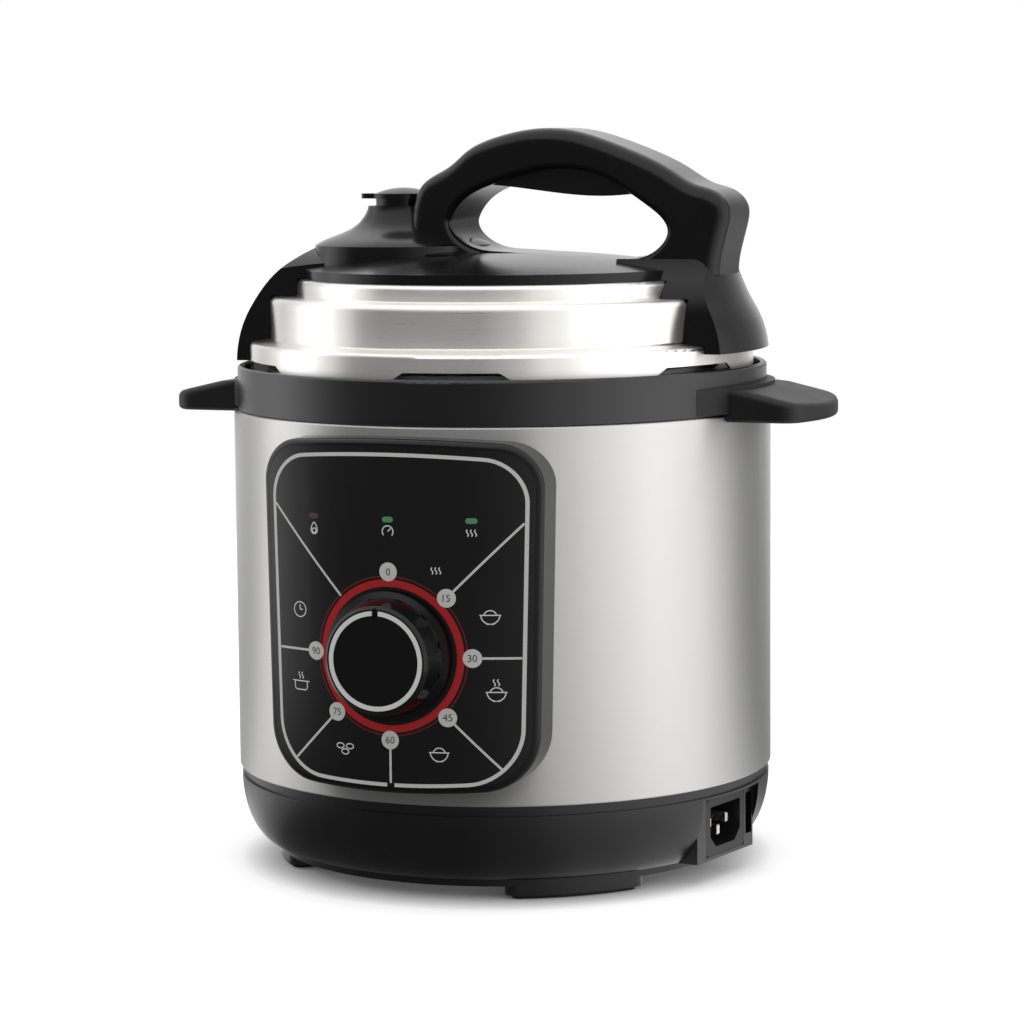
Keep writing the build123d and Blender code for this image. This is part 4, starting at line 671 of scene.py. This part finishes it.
LIGHT_AIM = Vector((0, 0, 0.15))
SIDE_BOX_DISTANCE = 1.5
TOP_BOX_PLACE = (0, -0.1, 1.6)


def studio_place(angle, distance, height):
    """A place round the object, by its angle from the studio's front towards the right."""
    turn = radians(FRONT_ANGLE - 90 + angle)
    return (distance * cos(turn), distance * sin(turn), height)


def room_level(tree, direction):
    """The level of the studio in a direction from the object."""
    turned = node(
        tree, "ShaderNodeVectorRotate", rotation_type="Z_AXIS", Angle=-radians(FRONT_ANGLE))
    tree.links.new(direction, turned.inputs["Vector"])
    x, y, _ = split(tree, turned.outputs["Vector"])
    angle = calc(tree, "ARCTAN2", x, calc(tree, "MULTIPLY", y, -1.0))
    room = tree.nodes.new("ShaderNodeValToRGB")
    room.color_ramp.interpolation = "EASE"
    stops = room.color_ramp.elements
    while len(stops) < len(ROOM):
        stops.new(0.5)
    for stop, (degrees, level) in zip(stops, ROOM):
        stop.position = (degrees + 180) / 360
        share = level / ROOM_TOP
        stop.color = (share, share, share, 1)
    tree.links.new(remap(tree, angle, (-pi, pi), (0, 1)), room.inputs["Fac"])
    return calc(tree, "MULTIPLY", room.outputs["Color"], ROOM_TOP)


def mirror_rays(tree):
    """One for the rays of mirrors and glass, zero for the others."""
    path = tree.nodes.new("ShaderNodeLightPath")
    glossy, through = path.outputs["Is Glossy Ray"], path.outputs["Is Transmission Ray"]
    return calc(tree, "MAXIMUM", glossy, through)


def eye_rays(tree):
    """One for the rays that the eye sees, zero for the others."""
    return tree.nodes.new("ShaderNodeLightPath").outputs["Is Camera Ray"]


def white_glow(tree, strength):
    made = node(tree, "ShaderNodeEmission", Color=(1, 1, 1, 1))
    feed(tree, made.inputs["Strength"], strength)
    return made.outputs[0]


def table_white():
    """White round the object, with painted shade near it: the glow dims near its axis and where it
    touches, over the real shadow on the grey. Mirrors see a painted reflection of the room in it.
    """
    mat = bpy.data.materials.new("studio_white")
    mat.use_nodes = True
    tree = mat.node_tree
    tree.nodes.clear()
    # Painted shadow: the glow that the eye sees is lower near the axis and dims at contacts.
    away = length(tree, object_point(tree))
    glow_with_painted_shadow = remap(tree, away, PAINTED_SHADOW_REACH, PAINTED_SHADOW_LEVELS, "SMOOTHSTEP")
    painted_contact_shade = node(tree, "ShaderNodeAmbientOcclusion", Distance=PAINTED_CONTACT_REACH)
    eye_glow_with_painted_shade = calc(tree, "MULTIPLY", glow_with_painted_shadow, painted_contact_shade.outputs["AO"])
    # Painted reflection: in mirrors the table glows with the room's level in the direction of each
    # of its points, in place of its lit grey.
    mirrored = calc(tree, "MULTIPLY", room_level(tree, object_point(tree)), PAINTED_REFLECTION_LEVEL)
    dull = tree.nodes.new("ShaderNodeAddShader")
    diffuse = node(tree, "ShaderNodeBsdfDiffuse", Color=TABLE_GREY)
    tree.links.new(diffuse.outputs[0], dull.inputs[0])
    tree.links.new(white_glow(tree, mix(tree, eye_rays(tree), 0.0, eye_glow_with_painted_shade)), dull.inputs[1])
    choose = tree.nodes.new("ShaderNodeMixShader")
    tree.links.new(mirror_rays(tree), choose.inputs["Fac"])
    tree.links.new(dull.outputs[0], choose.inputs[1])
    tree.links.new(white_glow(tree, mirrored), choose.inputs[2])
    out = tree.nodes.new("ShaderNodeOutputMaterial")
    tree.links.new(choose.outputs[0], out.inputs["Surface"])
    return mat


def floor():
    """A round white table that reaches further behind the object than in front of it."""
    mesh = bmesh.new()
    bmesh.ops.create_circle(mesh, cap_ends=True, segments=96, radius=TABLE_RADIUS)
    bmesh.ops.translate(mesh, verts=mesh.verts, vec=studio_place(180, TABLE_BEHIND, 0.0))
    data = bpy.data.meshes.new("studio_floor")
    mesh.to_mesh(data)
    mesh.free()
    data.materials.append(table_white())
    plane = bpy.data.objects.new("studio_floor", data)
    plane.location.z = -TABLE_DROP
    bpy.context.scene.collection.objects.link(plane)


def world():
    """White to the eye. Mirrors see a studio: white behind, two broad soft boxes, a dark front."""
    made = bpy.data.worlds.new("studio")
    bpy.context.scene.world = made
    made.use_nodes = True
    tree = made.node_tree
    background = tree.nodes["Background"]
    background.inputs["Color"].default_value = (1, 1, 1, 1)
    direction = tree.nodes.new("ShaderNodeTexCoord").outputs["Generated"]
    _, _, height = split(tree, direction)
    heights = [sin(radians(angle)) for angle in CEILING_ANGLES]
    ceiling = remap(tree, height, heights, (0, 1), "SMOOTHSTEP")
    mirrored = mix(tree, ceiling, room_level(tree, direction), CEILING_LEVEL)
    unseen = mix(tree, mirror_rays(tree), FILL_LEVEL, mirrored)
    tree.links.new(mix(tree, eye_rays(tree), unseen, 1.0), background.inputs["Strength"])


def soft_light(name, place, width, height, watts):
    data = bpy.data.lights.new(name, "AREA")
    data.shape = "RECTANGLE"
    data.size, data.size_y = width, height
    data.energy = watts
    lamp = bpy.data.objects.new(name, data)
    lamp.location = place
    lamp.rotation_mode = "QUATERNION"
    lamp.rotation_quaternion = (LIGHT_AIM - Vector(place)).to_track_quat("-Z", "Y")
    lamp.visible_glossy = False
    bpy.context.scene.collection.objects.link(lamp)


def lights():
    """Two large soft boxes, to the right and left of the eye, and a broader one above."""
    right = studio_place(66, SIDE_BOX_DISTANCE, 0.55)
    left = studio_place(-97, SIDE_BOX_DISTANCE, 0.5)
    soft_light("right_box", right, width=0.95, height=0.9, watts=5)
    soft_light("left_box", left, width=0.85, height=1.0, watts=4)
    soft_light("top_box", TOP_BOX_PLACE, width=1.2, height=1.2, watts=7)


CAMERA_LENS = 119.05          # millimetres, like the sensor's width
CAMERA_SENSOR = 36.0
CAMERA_PLACE = (0.5013, -1.2961, 0.2987)
CAMERA_LOOK = Vector((-0.3561, 0.9277, -0.1122))
CAMERA_ROLL = -0.5            # degrees
CAMERA_RANGE = (0.05, 30.0)


def camera():
    """The studio view: from the front right, a little above the middle, with a slight roll."""
    data = bpy.data.cameras.new("camera")
    data.lens = CAMERA_LENS
    data.sensor_width = CAMERA_SENSOR
    data.clip_start, data.clip_end = CAMERA_RANGE
    eye = bpy.data.objects.new("camera", data)
    eye.location = CAMERA_PLACE
    roll = Matrix.Rotation(radians(CAMERA_ROLL), 3, "Z").to_quaternion()
    eye.rotation_mode = "QUATERNION"
    eye.rotation_quaternion = CAMERA_LOOK.to_track_quat("-Z", "Y") @ roll
    bpy.context.scene.collection.objects.link(eye)
    bpy.context.scene.camera = eye


# ================================================================ build
dress_cad()
border = border_line()
print_border(border)
print_rules(border)
print_dial()
print_icons()
floor()
world()
lights()
camera()
bpy.context.scene.view_settings.view_transform = "Standard"
